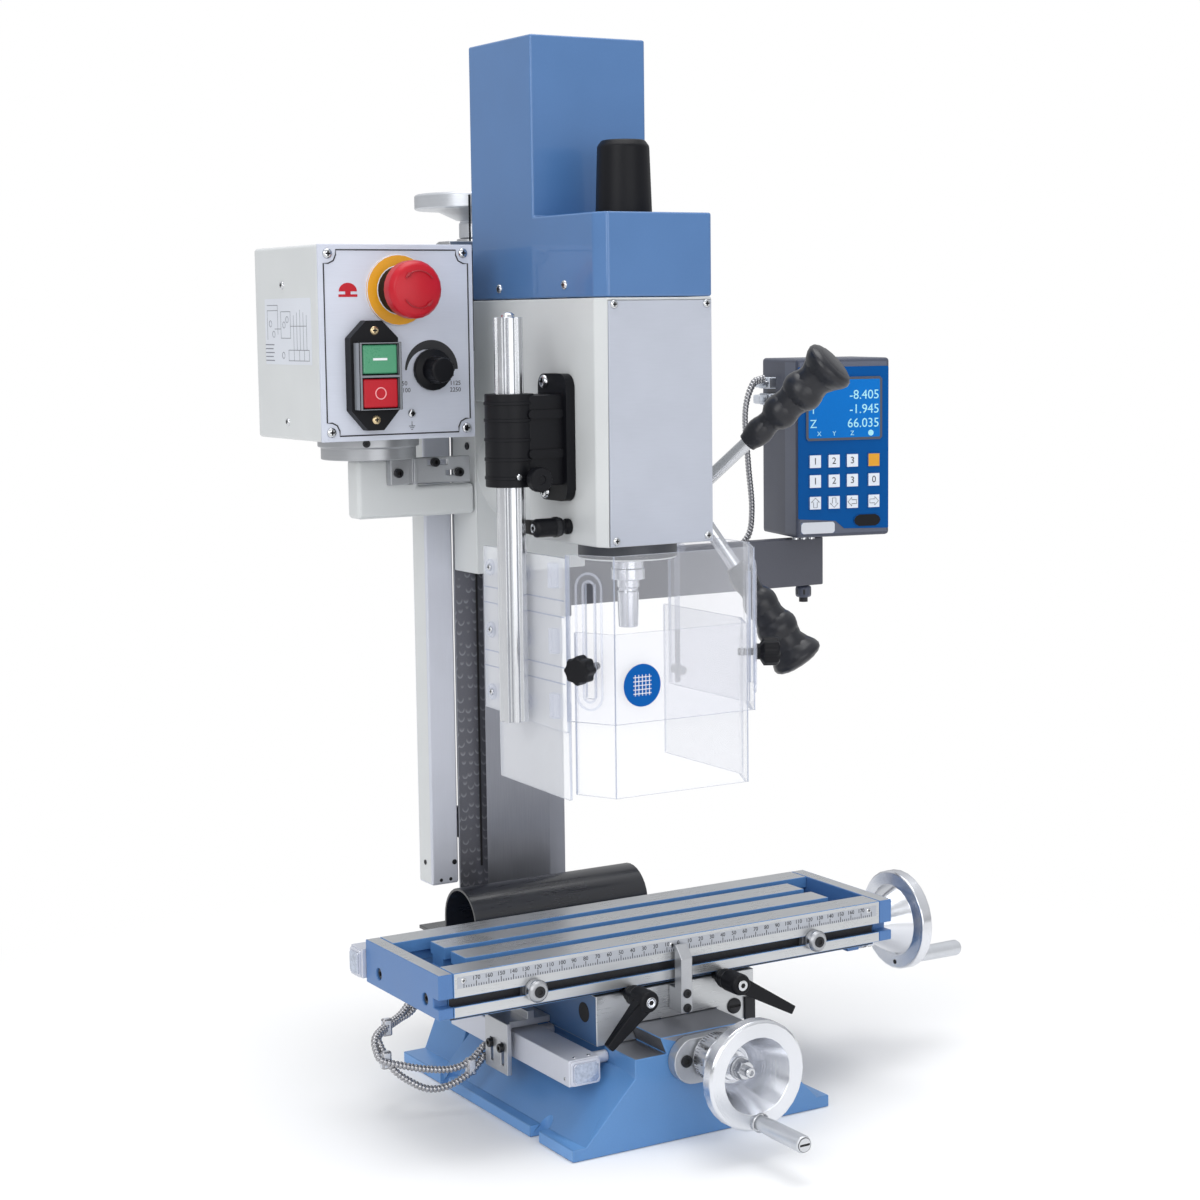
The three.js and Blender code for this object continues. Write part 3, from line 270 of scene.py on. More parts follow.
def piece(name, bm, mats, body, place=None, sharp=38, weighted=True):
    """Makes a piece from a mesh in millimetres. place is its own origin and axes."""
    me = bpy.data.meshes.new(name)
    if place is not None:
        bm.transform(place.inverted())
    bm.to_mesh(me)
    bm.free()
    me.transform(Matrix.Scale(MM, 4))
    for m in [mats] if isinstance(mats, str) else mats:
        me.materials.append(MATS[m])
    me.shade_smooth()
    me.set_sharp_from_angle(angle=math.radians(sharp))
    ob = bpy.data.objects.new(name, me)
    bpy.context.scene.collection.objects.link(ob)
    if place is not None:
        m = place.copy()
        m.translation = place.translation * MM
        ob.matrix_world = m
    if weighted:
        w = ob.modifiers.new("normals", "WEIGHTED_NORMAL")
        w.keep_sharp = True
    if body:
        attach(ob, body)
    return ob


def body_of(node):
    return frame["nodes"][node]["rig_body"]


def bevel(bm, width, segments=3, angle=28, edges=None):
    limit = math.radians(angle)
    picked = [e for e in (edges if edges is not None else bm.edges)
              if len(e.link_faces) == 2 and e.calc_face_angle(0) > limit and e.calc_length() > width * 1.6]
    if picked and width > 0:
        bmesh.ops.bevel(bm, geom=picked, offset=width, offset_type="OFFSET", segments=segments, profile=0.5,
                        affect="EDGES", clamp_overlap=False, loop_slide=True)


def refine(node, mats, width=0.5, paint=None, place=None, segments=2, angle=28, sharp=38, least=0.0,
           thin=None, split=None, bends=False):
    """The CAD node with eased edges, smooth round faces and its finishes face by face.
    """
    bm = bmesh.new()
    bm.from_mesh(frame["nodes"][node].data)
    bmesh.ops.scale(bm, vec=(1000, 1000, 1000), verts=bm.verts)
    bmesh.ops.remove_doubles(bm, verts=bm.verts, dist=0.002)
    bmesh.ops.dissolve_limit(bm, angle_limit=math.radians(0.6), verts=bm.verts, edges=bm.edges)
    if split:
        bmesh.ops.bisect_plane(bm, geom=bm.verts[:] + bm.edges[:] + bm.faces[:], plane_co=split[0],
                        plane_no=split[1])
    bm.normal_update()
    for f in bm.faces:
        f.material_index = paint(f.calc_center_median(), f.normal) if paint else 0
        if thin and f.calc_area() / f.calc_perimeter() < 2.2:
            f.material_index = thin
    bevel(bm, width, segments, angle, [e for e in bm.edges if e.calc_length() > least])
    ob = piece(node + "_skin", bm, mats, None if bends else body_of(node), place, sharp)
    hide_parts(node)
    return ob


def lathe(bm, profile, n=40, place=Matrix(), mat=0, turn=0.0):
    """A solid of rings (radius, height[, kind]).

    A kind is o round, h six-sided, x crossed, s slotted, k knurled or l lobed.
    """
    rings = []
    for p in profile:
        r, z = p[:2]
        kind = p[2] if len(p) > 2 else "o"
        if r == 0:
            rings.append([bm.verts.new(place @ Vector((0, 0, z)))])
            continue
        ring = []
        for i in range(n):
            t = 2 * math.pi * i / n + turn
            c, s = abs(math.cos(t)) + 1e-9, abs(math.sin(t)) + 1e-9
            q = r
            if kind == "h":
                q = r * math.cos(math.pi / 6) / math.cos((t % (math.pi / 3)) - math.pi / 6)
            elif kind == "x":
                w = 0.3 * r
                q = max(min(r / c, w / s), min(w / c, r / s))
            elif kind == "s":
                q = min(r / c, 0.2 * r / s)
            elif kind == "k":
                q = r * (1 - 0.06 * (i % 2))
            elif kind == "l":
                q = r * (0.93 + 0.07 * math.cos(8 * t))
            ring.append(bm.verts.new(place @ Vector((q * math.cos(t), q * math.sin(t), z))))
        rings.append(ring)
    for a, b in zip(rings, rings[1:]):
        for i in range(n):
            j = (i + 1) % n
            if len(a) == 1 and len(b) == 1:
                continue
            if len(a) == 1:
                f = bm.faces.new((a[0], b[i], b[j]))
            elif len(b) == 1:
                f = bm.faces.new((a[i], b[0], a[j]))
            else:
                f = bm.faces.new((a[i], b[i], b[j], a[j]))
            f.material_index = mat
    return bm


def screw(bm, at, axis, r, h, kind="socket", mat=0, hole=1, turn=0.4):
    m = spot(at, axis)
    if kind == "socket":
        rings = [(0, -0.4), (r, -0.4), (r, h * 0.86), (r * 0.9, h), (r * 0.58, h)]
        deep = [(r * 0.52, h, "h"), (r * 0.5, h * 0.3, "h"), (0, h * 0.3)]
    elif kind == "slot":
        rings = [(0, -0.4), (r, -0.4), (r, h * 0.75), (r * 0.86, h)]
        deep = [(r * 0.84, h, "s"), (r * 0.84, h * 0.4, "s"), (0, h * 0.4)]
    else:
        rings = [(0, -0.4), (r, -0.4), (r * 0.98, h * 0.3), (r * 0.84, h * 0.75), (r * 0.62, h)]
        deep = [(r * 0.52, h, "x"), (r * 0.4, h * 0.3, "x"), (0, h * 0.25)]
    lathe(bm, rings + deep[:1], 36, m, mat, turn)
    count = len(bm.faces)
    lathe(bm, [deep[0]] + deep[1:], 36, m, hole, turn)
    bmesh.ops.remove_doubles(bm, verts=bm.verts, dist=0.0005)
    return count


def block(bm, low, high, mat=0, width=0.4, place=Matrix(), segments=2):
    """A box with eased edges."""
    verts = [bm.verts.new(place @ Vector((x, y, z))) for x in (low[0], high[0]) for y in (low[1], high[1])
             for z in (low[2], high[2])]
    quads = [(0, 1, 3, 2), (4, 6, 7, 5), (0, 4, 5, 1), (2, 3, 7, 6), (0, 2, 6, 4), (1, 5, 7, 3)]
    faces = [bm.faces.new([verts[i] for i in q]) for q in quads]
    for f in faces:
        f.material_index = mat
    if width:
        edges = list({e for f in faces for e in f.edges})
        bmesh.ops.bevel(bm, geom=edges, offset=width, offset_type="OFFSET", segments=segments, profile=0.5,
                        affect="EDGES", clamp_overlap=True)


def prism(bm, outline, z0, z1, place=Matrix(), mat=0, width=0.0):
    """An outline pushed from z0 to z1 along the placing's Z."""
    low = [bm.verts.new(place @ Vector((x, y, z0))) for x, y in outline]
    high = [bm.verts.new(place @ Vector((x, y, z1))) for x, y in outline]
    faces = [bm.faces.new(list(reversed(low))), bm.faces.new(high)]
    n = len(outline)
    for i in range(n):
        j = (i + 1) % n
        faces.append(bm.faces.new((low[i], low[j], high[j], high[i])))
    for f in faces:
        f.material_index = mat
    if width:
        bmesh.ops.bevel(bm, geom=list(faces[1].edges), offset=width, offset_type="OFFSET", segments=2,
                        profile=0.5,
                        affect="EDGES", clamp_overlap=True)


def rounded(w, h, r, cx=0.0, cy=0.0, n=5):
    out = []
    for sx, sy, a0 in ((1, 1, 0), (-1, 1, 90), (-1, -1, 180), (1, -1, 270)):
        for i in range(n + 1):
            a = math.radians(a0 + 90 * i / n)
            out.append((cx + sx * (w / 2 - r) + r * math.cos(a), cy + sy * (h / 2 - r) + r * math.sin(a)))
    return out


def smooth_path(points, step):
    """A Catmull-Rom line through the points, in even steps."""
    pts = [Vector(p) for p in points]
    pts = [pts[0] * 2 - pts[1]] + pts + [pts[-1] * 2 - pts[-2]]
    fine = []
    for a, b, c, d in zip(pts, pts[1:], pts[2:], pts[3:]):
        for i in range(24):
            t = i / 24
            fine.append(0.5 * (2 * b + (c - a) * t + (2 * a - 5 * b + 4 * c - d) * t * t
                               + (3 * b - a - 3 * c + d) * t ** 3))
    fine.append(pts[-2])
    out, gone = [fine[0]], 0.0
    for a, b in zip(fine, fine[1:]):
        left = (b - a).length
        while gone + left >= step:
            part = (step - gone) / left
            a = a.lerp(b, part)
            left = (b - a).length
            out.append(a)
            gone = 0.0
        gone += left
    return out


def tube(bm, path, radius, n=12, mat=0, closed=False):
    """A tube along a path. radius is a number, or a function of the step."""
    path = [Vector(p) for p in path]
    count = len(path)
    side = None
    rings = []
    for i, p in enumerate(path):
        a = path[(i - 1) % count] if closed or i else path[0]
        b = path[(i + 1) % count] if closed or i < count - 1 else path[-1]
        along = (b - a).normalized()
        if side is None:
            side = along.orthogonal().normalized()
        side = (side - along * side.dot(along)).normalized()
        up = along.cross(side)
        r = radius(i) if callable(radius) else radius
        rings.append([bm.verts.new(p + (side * math.cos(t) + up * math.sin(t)) * r)
                      for t in (2 * math.pi * k / n for k in range(n))])
    pairs = list(zip(rings, rings[1:])) + ([(rings[-1], rings[0])] if closed else [])
    for a, b in pairs:
        for k in range(n):
            f = bm.faces.new((a[k], b[k], b[(k + 1) % n], a[(k + 1) % n]))
            f.material_index = mat
    if not closed:
        bm.faces.new(rings[0]).material_index = mat
        bm.faces.new(list(reversed(rings[-1]))).material_index = mat


def words(bm, lines, place, mat=0, thick=0.12, align="CENTER"):
    """Raised numbers and signs. Each line is (text, x, y, height) on the placing's XY plane."""
    for text, x, y, high in lines:
        curve = bpy.data.curves.new("words", "FONT")
        curve.body = text
        curve.size = high / 0.72
        curve.align_x = align
        curve.align_y = "CENTER"
        curve.extrude = thick
        curve.resolution_u = 3
        ob = bpy.data.objects.new("words", curve)
        me = bpy.data.meshes.new_from_object(ob)
        me.transform(place @ Matrix.Translation((x, y, 0)))
        start = len(bm.faces)
        bm.from_mesh(me)
        bm.faces.ensure_lookup_table()
        for f in bm.faces[start:]:
            f.material_index = mat
        bpy.data.objects.remove(ob)
        bpy.data.curves.remove(curve)
        bpy.data.meshes.remove(me)


def new():
    return bmesh.new()


# ---------------------------------------------------------------- base and column
def base_paint(c, n):
    if c.z > 66 and abs(c.x) < 40 and c.y < 130 and c.z < 80:
        return 2 if c.x > -15 else 1
    if n.z > 0.6 and c.z > 49 and abs(c.x) < 61 and c.y < 134:
        return 1
    # faces below 14 mm, the foot, get the lighter blue as painted light
    return 3 if c.z < 14 else 0


refine("base_casting", ["base_blue", "bed_iron", "rail_iron", "foot_blue"], 0.8, base_paint,
       least=5)
refine("column", ["rail_iron", "moon_iron", "dark_iron"], 0.5,
       lambda c, n: 1 if n.y < -0.5 and c.y > 185 else (0 if c.y < 190.6 else 2))
# a thin dark strip along the column's shoulder: painted shadow of the undercut gap beside the dovetail
bm = new()
block(bm, (-30.9, 188.3, 150), (-29.3, 189.0, 700), 0, 0.1)
piece("shoulder_shadow_line", bm, ["hollow"], "base")
refine("column_top_bracket", ["ground_iron"], 0.6)
refine("z_scale", ["satin_aluminium", "white_paint"], 2.0, lambda c, n: 1 if n.x < -0.5 else 0,
       segments=4)
refine("display_arm", ["arm_paint"], 1.2)
refine("y_scale", ["satin_aluminium"], 0.8)
refine("y_bearing_flange", ["aluminium"], 0.9)
cover = refine("way_cover", ["cover_rubber"], 0.4, bends=True)
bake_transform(cover)

bm = new()
for x in (-22.4, 22.4):
    screw(bm, (x, -111, 62), FRONT, 4.6, 1.2)
piece("flange_screws", bm, ["black_steel", "hollow"], "base")

bm = new()
screw(bm, (-54.8, 190, 156), FRONT, 2.1, 0.5, mat=0)
screw(bm, (-67.2, 190, 142), FRONT, 1.5, 0.4, "pan")
screw(bm, (-58.5, 190, 142), FRONT, 1.5, 0.4, "pan")
screw(bm, (-75.4, 202, 156), LEFT, 2.1, 0.5)
screw(bm, (-54.8, 190, 634), FRONT, 2.1, 0.5)
piece("z_scale_screws", bm, ["black_steel", "hollow"], "base")

# the clear end of the cross scale, its rim and screws
cap = spot((-87.5, -75, 56), FRONT, RIGHT)
bm = new()
prism(bm, rounded(24.6, 18.6, 2.5), -0.4, 1.6, cap, 0, 0.6)
prism(bm, rounded(20.6, 14.6, 2), 1.6, 3.2, cap, 1, 0.8)
screw(bm, (-93, -70, 66), UP, 1.5, 0.5, "pan", 2, 3)
screw(bm, (-81, -70, 66), UP, 1.5, 0.5, "pan", 2, 3)
screw(bm, (-100.5, -69, 51), LEFT, 1.5, 0.5, "pan", 2, 3)
piece("y_scale_cap", bm, ["satin_aluminium", "clear_cap", "chrome", "hollow"], "base")

# ---------------------------------------------------------------- saddle
# the saddle's sides, back and underside below 104 mm get the darker blue as painted shade
refine("saddle", ["ground_iron", "slot_blue"], 0.7,
       lambda c, n: 1 if abs(n.x) > 0.35 and c.z < 104 else (0
                       if n.y < -0.5 or n.z > 0.5 or c.z > 104 else 1))
refine("table_pointer", ["aluminium"], 0.8)
refine("y_scale_reader", ["aluminium"], 0.5)
bm = new()
screw(bm, (53.8, -60, 78.5), FRONT, 6, 1.4, "slot", turn=1.05)
lathe(bm, [(0, -0.6), (7.5, -0.6), (7.5, 0.2), (7, 0.5), (0, 0.5)], 40, spot((-68, -42, 89), LEFT), 1)
block(bm, (63, -62, 66), (72.4, -59.6, 84), 0, 0.5)
for z in (90, 101):
    screw(bm, (0, -78, z), FRONT, 3.4, 0.8)
for y in (13, 30):
    screw(bm, (-108, y, 54), LEFT, 3.5, 3.2)
piece("saddle_screws", bm, ["black_steel", "hollow"], "saddle")
for side, x in (("left", -43.5), ("right", 37)):
    refine(side + "_clamp_lever", ["black_plastic"], 0.9, segments=3)
    bm = new()
    screw(bm, (x, -96.4, 105.8), FRONT, 4, 1.2)
    lathe(bm, [(6.6, -1.2, "k"), (7.6, -0.6, "k"), (7.6, 4, "k"), (6.6, 4.6, "k")], 40,
          spot((x, -73.5, 105.8), FRONT), 2)
    piece(side + "_lever_screw", bm, ["chrome", "hollow", "black_plastic"], body_of(side + "_clamp_lever"))


# ---------------------------------------------------------------- table
def table_paint(c, n):
    if n.z > 0.6 and c.z > 141:
        return 1
    # the floors of the table's slots get the darker blue as painted shade
    if n.z > 0.6 and abs(c.y) < 52 and c.z > 115:
        return 3
    # the front groove gets the dark iron as painted shade; the table below 110.5 mm is dark as well
    if c.z < 110.5 or (c.y < -50 and 117 < c.z < 125):
        return 2
    if n.y < -0.5 and c.y < -65:
        return 1
    return 0


refine("table", ["base_blue", "ground_iron", "dark_iron", "slot_blue"], 0.45, table_paint)
for side in ("left", "right"):
    refine("table_end_" + side, ["end_blue", "ground_iron"], 0.8,
           lambda c, n: 1 if n.z > 0.6 and c.z > 141 else 0)
    refine(side + "_stop", ["swivel_iron"], 0.5)
refine("x_scale", ["satin_aluminium"], 0.8)
bm = new()
for x, s in ((-199.6, -1), (199.6, 1)):
    for y in (-44, 32):
        screw(bm, (x - s * 3.2, y, 121), (s, 0, 0), 3.9, 2.2)
piece("table_end_screws", bm, ["black_steel", "hollow"], "table")
for side, x in (("left", -123.5), ("right", 123.5)):
    bm = new()
    screw(bm, (x, -74.8, 121.2), FRONT, 4.2, 1.0)
    lathe(bm, [(8.05, 0), (8.3, 0.4), (8.3, 3), (8.05, 3.4)], 40, spot((x, -73, 121.2), (0, 1, 0)), 2)
    piece(side + "_stop_screw", bm, ["black_steel", "hollow", "steel"], side + "_stop")

# the rule along the table's front
face = spot((0, -66, 135.3), FRONT, RIGHT)
bm = new()
block(bm, (-185, -4.2, -0.2), (185, 4.2, 0.18), 0, 0.1, face)
for x in range(-180, 181, 2):
    tall = 3.9 if x % 10 == 0 else 1.7
    block(bm, (x - 0.26, -4.0, 0.1), (x + 0.26, -4.0 + tall, 0.26), 1, 0, face)
words(bm, [(str(abs(x)), x, 1.95, 3.1) for x in range(-180, 181, 10) if x not in (-180, 180)],
      face @ Matrix.Translation((0, 0, 0.2)), 1)
for x in (-180.2, -5.6, 177.5):
    screw(bm, (x, -66.1, 136.4), FRONT, 2.2, 0.5, "pan", 2, 3)
piece("table_rule", bm, ["rule", "black_ink", "chrome", "hollow"], "table")
bm = new()
for x, s in ((-203, -1), (203, 1)):
    m = spot((x, 64, 123.5), (s, 0, 0), (0, s, 0))
    prism(bm, rounded(17.4, 20.6, 2), -0.4, 1.4, m, 0, 0.5)
    prism(bm, rounded(13.6, 16.4, 1.6), 1.4, 2.6, m, 1, 0.7)
piece("x_scale_caps", bm, ["satin_aluminium", "clear_cap"], "table")


# ---------------------------------------------------------------- wheels
def dial(bm, place, r, low, high, tens, mat=1):
    """Engraved lines and numbers round a dial."""
    for i in range(50):
        t = 2 * math.pi * i / 50
        m = place @ Matrix.Rotation(t, 4, "Z")
        top = low + (high - low) * (0.5 if i % 5 == 0 else 0.3)
        block(bm, (r - 0.1, -0.16, low), (r + 0.12, 0.16, top), mat, 0, m)
    for k in range(tens):
        t = 2 * math.pi * k / tens
        around = place @ Matrix.Rotation(t, 4, "Z") @ Matrix.Translation((r, 0, low + (high - low) * 0.76))
        around = around @ Matrix(((0, 0, 1, 0), (1, 0, 0, 0), (0, 1, 0, 0), (0, 0, 0, 1)))
        words(bm, [(str(k * 2 if tens == 10 else k), 0, 0, 2.4)], around, mat)


xw = spot((209, -6, 106), RIGHT, (0, 1, 0))
yw = spot((0, -113.4, 63), FRONT, RIGHT)
zw = spot((0, 235, 690), UP)
refine("x_handwheel", ["turned_aluminium"], 0.6, place=xw, segments=3)
refine("y_handwheel", ["turned_aluminium"], 0.6, place=yw, segments=3)
refine("z_handwheel", ["turned_face"], 0.8, place=zw, segments=3)
refine("x_crank_handle", ["turned_face"], 0.6, place=spot((258, -15.5, 76), RIGHT))
refine("y_crank_handle", ["turned_face"], 0.6, place=spot((1, -170, 29), FRONT))
for n in ("x_leadscrew", "y_leadscrew", "z_leadscrew"):
    refine(n, ["steel"], 0.3)
bm = new()
dial(bm, xw, 18, 1, 14, 10, 0)
lathe(bm, [(0, -0.5), (1.9, -0.5), (1.9, 0.3), (0, 0.3)], 24, spot((247, -10.2, 71.6), LEFT), 1)
piece("x_dial_marks", bm, ["black_ink", "hollow"], "x_wheel")
bm = new()
dial(bm, yw, 18, 1, 14, 10, 0)
piece("y_dial_marks", bm, ["black_ink"], "y_wheel")

# the nut, washer and bolt in the cross wheel's dish, and the slotted crank screws
bm = new()
hub = spot((0, -147.4, 63), FRONT, RIGHT)
lathe(bm, [(0, -0.5), (8.6, -0.5), (8.6, 1.2), (8, 1.7), (0, 1.7)], 40, hub)
lathe(bm, [(7, 1.7, "h"), (7.4, 2.1, "h"), (7.4, 7.2, "h"), (6.2, 8)], 48, hub)
lathe(bm, [(6.2, 8), (3.9, 8), (3.9, 13.6), (3.2, 14.4), (2.2, 14.4, "h"), (2.2, 12.6, "h"), (0, 12.6)], 48,
      hub)
lathe(bm, [(6.4, 0), (7.2, 0.5), (7.2, 1.8), (6.6, 2.2)], 40, spot((1, -170.4, 29), FRONT))
piece("y_wheel_nut", bm, "steel", "y_wheel", hub)
bm = new()
screw(bm, (1, -224.9, 29), FRONT, 5, 0.7, "slot", turn=0.9)
lathe(bm, [(5.3, -0.4), (5.3, 0.4), (4.9, 0.4), (4.9, -0.4)], 40, spot((1, -225, 29), FRONT), 1)
piece("y_crank_screw", bm, ["steel", "hollow"], "y_crank")
bm = new()
screw(bm, (307.9, -15.5, 76), RIGHT, 5, 0.7, "slot", turn=0.9)
piece("x_crank_screw", bm, ["steel", "hollow"], "x_crank")
bm = new()
lathe(bm, [(0, -0.5), (7.6, -0.5), (7.6, 1.2), (0, 1.2)], 40, spot((243, -6, 106), RIGHT))
lathe(bm, [(0, 1.2), (6.6, 1.2, "h"), (6.6, 6.2, "h"), (5.4, 7), (0, 7)], 48, spot((243, -6, 106), RIGHT))
piece("x_wheel_nut", bm, "steel", "x_wheel")

# ---------------------------------------------------------------- Z slide, arm and swivel
refine("z_slide", ["white_paint", "ground_iron"], 1.0,
       lambda c, n: 1 if c.y > 176 and abs(c.x) < 34 and n.y > -0.3 and abs(n.z) < 0.5 else 0)
refine("control_arm", ["white_paint"], 3.5, segments=4)
disc = spot((-139.3, 157, 494), UP)
refine("swivel_disc", ["swivel_iron"], 0.8, place=disc, segments=3)
refine("z_scale_reader", ["aluminium"], 0.5)
bm = new()
for x, z, y in ((-122, 482.5, 141.5), (-88, 489.5, 145.5), (-67, 481, 145.5)):
    screw(bm, (x, y, z), FRONT, 3.6, 3.6)
screw(bm, (-157.4, 121.6, 507.4), (-0.457, -0.889, 0), 3, 0.7)
for z in (500, 546):
    screw(bm, (-50, 162, z), LEFT, 3, 1.2, "slot")
piece("z_slide_screws", bm, ["black_steel", "hollow"], "z_slide")

# ---------------------------------------------------------------- control box
ES = Vector((-140, 0, 623))  # middle of the emergency stop
PANEL_Y = 97.5  # front of the panel
KNOB = (-113, PANEL_Y, 563)
front = spot((0, PANEL_Y, 0), FRONT, RIGHT)  # local x is X, local y is Z


def panel_paint(c, n):
    r = math.hypot(c.x - ES.x, c.z - ES.z)
    if r < 27.5 and c.y < 97.4:
        return 2 if r < 17.6 else 1
    return 0


refine("control_box", ["white_paint"], 2.5, segments=4, least=12)
refine("control_panel", ["panel", "yellow", "black_plastic"], 0.5, panel_paint)
refine("switch_plate", ["black_plastic", "key_frame"], 0.4, lambda c,
       n: 1 if c.y < 86.9 else 0)
es = spot((ES.x, PANEL_Y, ES.z), FRONT)
refine("estop_button", ["red_plastic", "black_plastic"], 1.2, lambda c,
       n: 1 if c.y > 79.8 else 0,
       place=es, segments=4, sharp=60)
refine("start_button", ["green_plastic"], 1.5, segments=4)
refine("stop_button", ["red_plastic"], 1.5, segments=4)
refine("speed_knob", ["black_plastic"], 0.5, place=spot(KNOB, FRONT), segments=3)
bm = new()
for k in range(2):
    arc = [(ES.x + 13.6 * math.cos(t), 60.9, ES.z + 13.6 * math.sin(t))
           for t in (math.radians(35 + 180 * k + i * 6) for i in range(19))]
    tube(bm, arc, lambda i: 0.5 if i < 15 else 1.5 - 0.35 * (i - 15), 8)
piece("estop_arrows", bm, "red_dark", "estop")

# border line, notched round the corner screws
PANEL_MID_X, PANEL_MID_Z = -140.5, 584
PANEL_HALF_W, PANEL_HALF_H = 64, 73
NOTCH = ((4.2, 14.2), (8, 14.2), (12.2, 12.2), (14.2, 8), (14.2,
                4.2))  # in from the panel's edges at a corner
line = []
for sx, sz, flip in ((-1, -1, 0), (1, -1, 1), (1, 1, 0), (-1, 1, 1)):
    notch = [(PANEL_MID_X + sx * (PANEL_HALF_W - a), PANEL_MID_Z + sz * (PANEL_HALF_H - b)) for a, b in NOTCH]
    line += notch[::-1] if flip else notch
bm = new()
tube(bm, [(x, 97.45, z) for x, z in line], 0.55, 6, 0, True)
mush = spot((-181, PANEL_Y, 622.8), FRONT, RIGHT)
dome = [(7.4 * math.cos(t), -0.6 + 6.4 * math.sin(t)) for t in (math.radians(a) for a in range(0, 181, 12))]
prism(bm, dome, -0.2, 0.2, mush, 1)
for w, h, y in ((4.4, 2.4, -1.7), (15.4, 1.9, -3.7)):
    prism(bm, [(-w / 2, y - h / 2), (w / 2, y - h / 2), (w / 2, y + h / 2), (-w / 2, y + h / 2)], -0.2, 0.2,
          mush, 1)
scale = spot(KNOB, FRONT, RIGHT)
outer = [(22.4 * math.cos(t), 22.4 * math.sin(t)) for t in (math.radians(a) for a in range(180, -5, -6))]
inner = [((20.9 - 12 * k / 30) * math.cos(t), (20.9 - 12 * k / 30) * math.sin(t))
         for k, t in enumerate(math.radians(a) for a in range(180, -5, -6))]
for a, b, c, d in zip(outer, outer[1:], inner[1:], inner):
    prism(bm, [a, d, c, b], -0.2, 0.2, scale, 0)
words(bm, [("50", -136, 553, 3.4), ("100", -134.6, 547.8, 3.4), ("1125", -93, 552.3, 3.4),
           ("2250", -93, 547.3, 3.4)],
      front, 0)
for k, w in enumerate((5.2, 3.4, 1.6)):
    prism(bm, [(-130.5 - w / 2, 520.6 - k * 1.3), (-130.5 + w / 2, 520.6 - k * 1.3),
               (-130.5 + w / 2, 521.2 - k * 1.3),
               (-130.5 - w / 2, 521.2 - k * 1.3)], -0.2, 0.2, front, 2)
prism(bm, [(-130.8, 521), (-130.2, 521), (-130.2, 524.4), (-130.8, 524.4)], -0.2, 0.2, front, 2)
piece("panel_print", bm, ["black_ink", "red_plastic", "grey_ink"], "control_box",
      weighted=False)
bm = new()
for x, z in ((-197, 518), (-84, 518), (-197, 650), (-84.6, 650.6)):
    screw(bm, (x, PANEL_Y, z), FRONT, 3.9, 1.8, "pan")
screw(bm, (-130.5, PANEL_Y, 530.5), FRONT, 3.4, 1.8, "pan")
for z in (593.1, 526.9):
    screw(bm, (-165, 87.2, z), FRONT, 3.5, 1.3, "pan", 2)
for y, z in ((164.7, 628), (160.1, 524.4)):
    screw(bm, (-204.5, y, z), LEFT, 3.1, 1.5, "pan")
piece("control_screws", bm, ["chrome", "hollow", "brass"], "control_box")
bm = new()
prism(bm, [(-170.8, 571.2), (-159.2, 571.2), (-159.2, 572.9), (-170.8, 572.9)], -0.2, 0.15,
      spot((0, 78.2, 0), FRONT, RIGHT))
piece("start_mark", bm, "white_ink", "start_key", weighted=False)
bm = new()
tube(bm, [(-165 + 4.2 * math.cos(t), 78.2, 546.8 + 4.2 * math.sin(t)) for t in
          (2 * math.pi * i / 32 for i in range(32))], 0.42, 6, 0, True)
piece("stop_mark", bm, "pink_ink", "stop_key", weighted=False)
bm = new()
for i in range(14):
    t = 2 * math.pi * i / 14
    m = spot(KNOB, FRONT) @ Matrix.Rotation(t, 4, "Z")
    block(bm, (8.6, -0.8, 8), (10.1, 0.8, 19), 0, 0.3, m)
piece("speed_knob_ribs", bm, "black_plastic", "speed_knob")

# the plain line diagram on the box's side
side = spot((-204.5, 157, 593), LEFT, FRONT)
bm = new()
prism(bm, rounded(87, 50, 1, 1), -0.1, 0.14, side, 0)


def strokes(lines, w=0.5):
    """Straight lines of width w on the label."""
    for x0, y0, x1, y1 in lines:
        a, b = Vector((x0, y0)), Vector((x1, y1))
        d = (b - a).normalized() * w / 2
        q = Vector((-d.y, d.x))
        prism(bm, [tuple(a - d - q), tuple(b + d - q), tuple(b + d + q), tuple(a - d + q)], 0.1, 0.2, side, 1)


strokes([(-38, 20, -18, 20), (-38, 16, -18, 16), (-18, 20, -18, -2), (-38, 16, -38, -6), (-12, 15, 6, 15),
         (-12, 15, -12, -5), (6, 15, 6, -5), (-12, -5, 6, -5), (12, 12, 12, -14), (18, 14, 18, -14),
         (24, 16, 24, -14),
         (30, 14, 30, -14), (36, 12, 36, -14), (6, 4, 36, 4), (2, -14, 40, -14), (2, -22, 40, -22),
         (2, -14, 2, -22),
         (40, -14, 40, -22), (12, -14, 12, -22), (22, -14, 22, -22), (31, -14, 31, -22), (-24, 2, -12, 2)])
for k in range(5):
    strokes([(-42, -10 - 3 * k, -42 + 16 - 2 * (k % 2), -10 - 3 * k)], 0.8)
for x, y in ((-32, 6), (-26, -2), (-6, 5), (0, 9), (-8, -18)):
    tube(bm, [side @ Vector((x + 2.4 * math.cos(t), y + 2.4 * math.sin(t), 0.1)) for t in
              (math.pi * i / 8 for i in range(16))], 0.28, 4, 1, True)
piece("wiring_label", bm, ["label", "grey_ink"], "control_box", weighted=False)

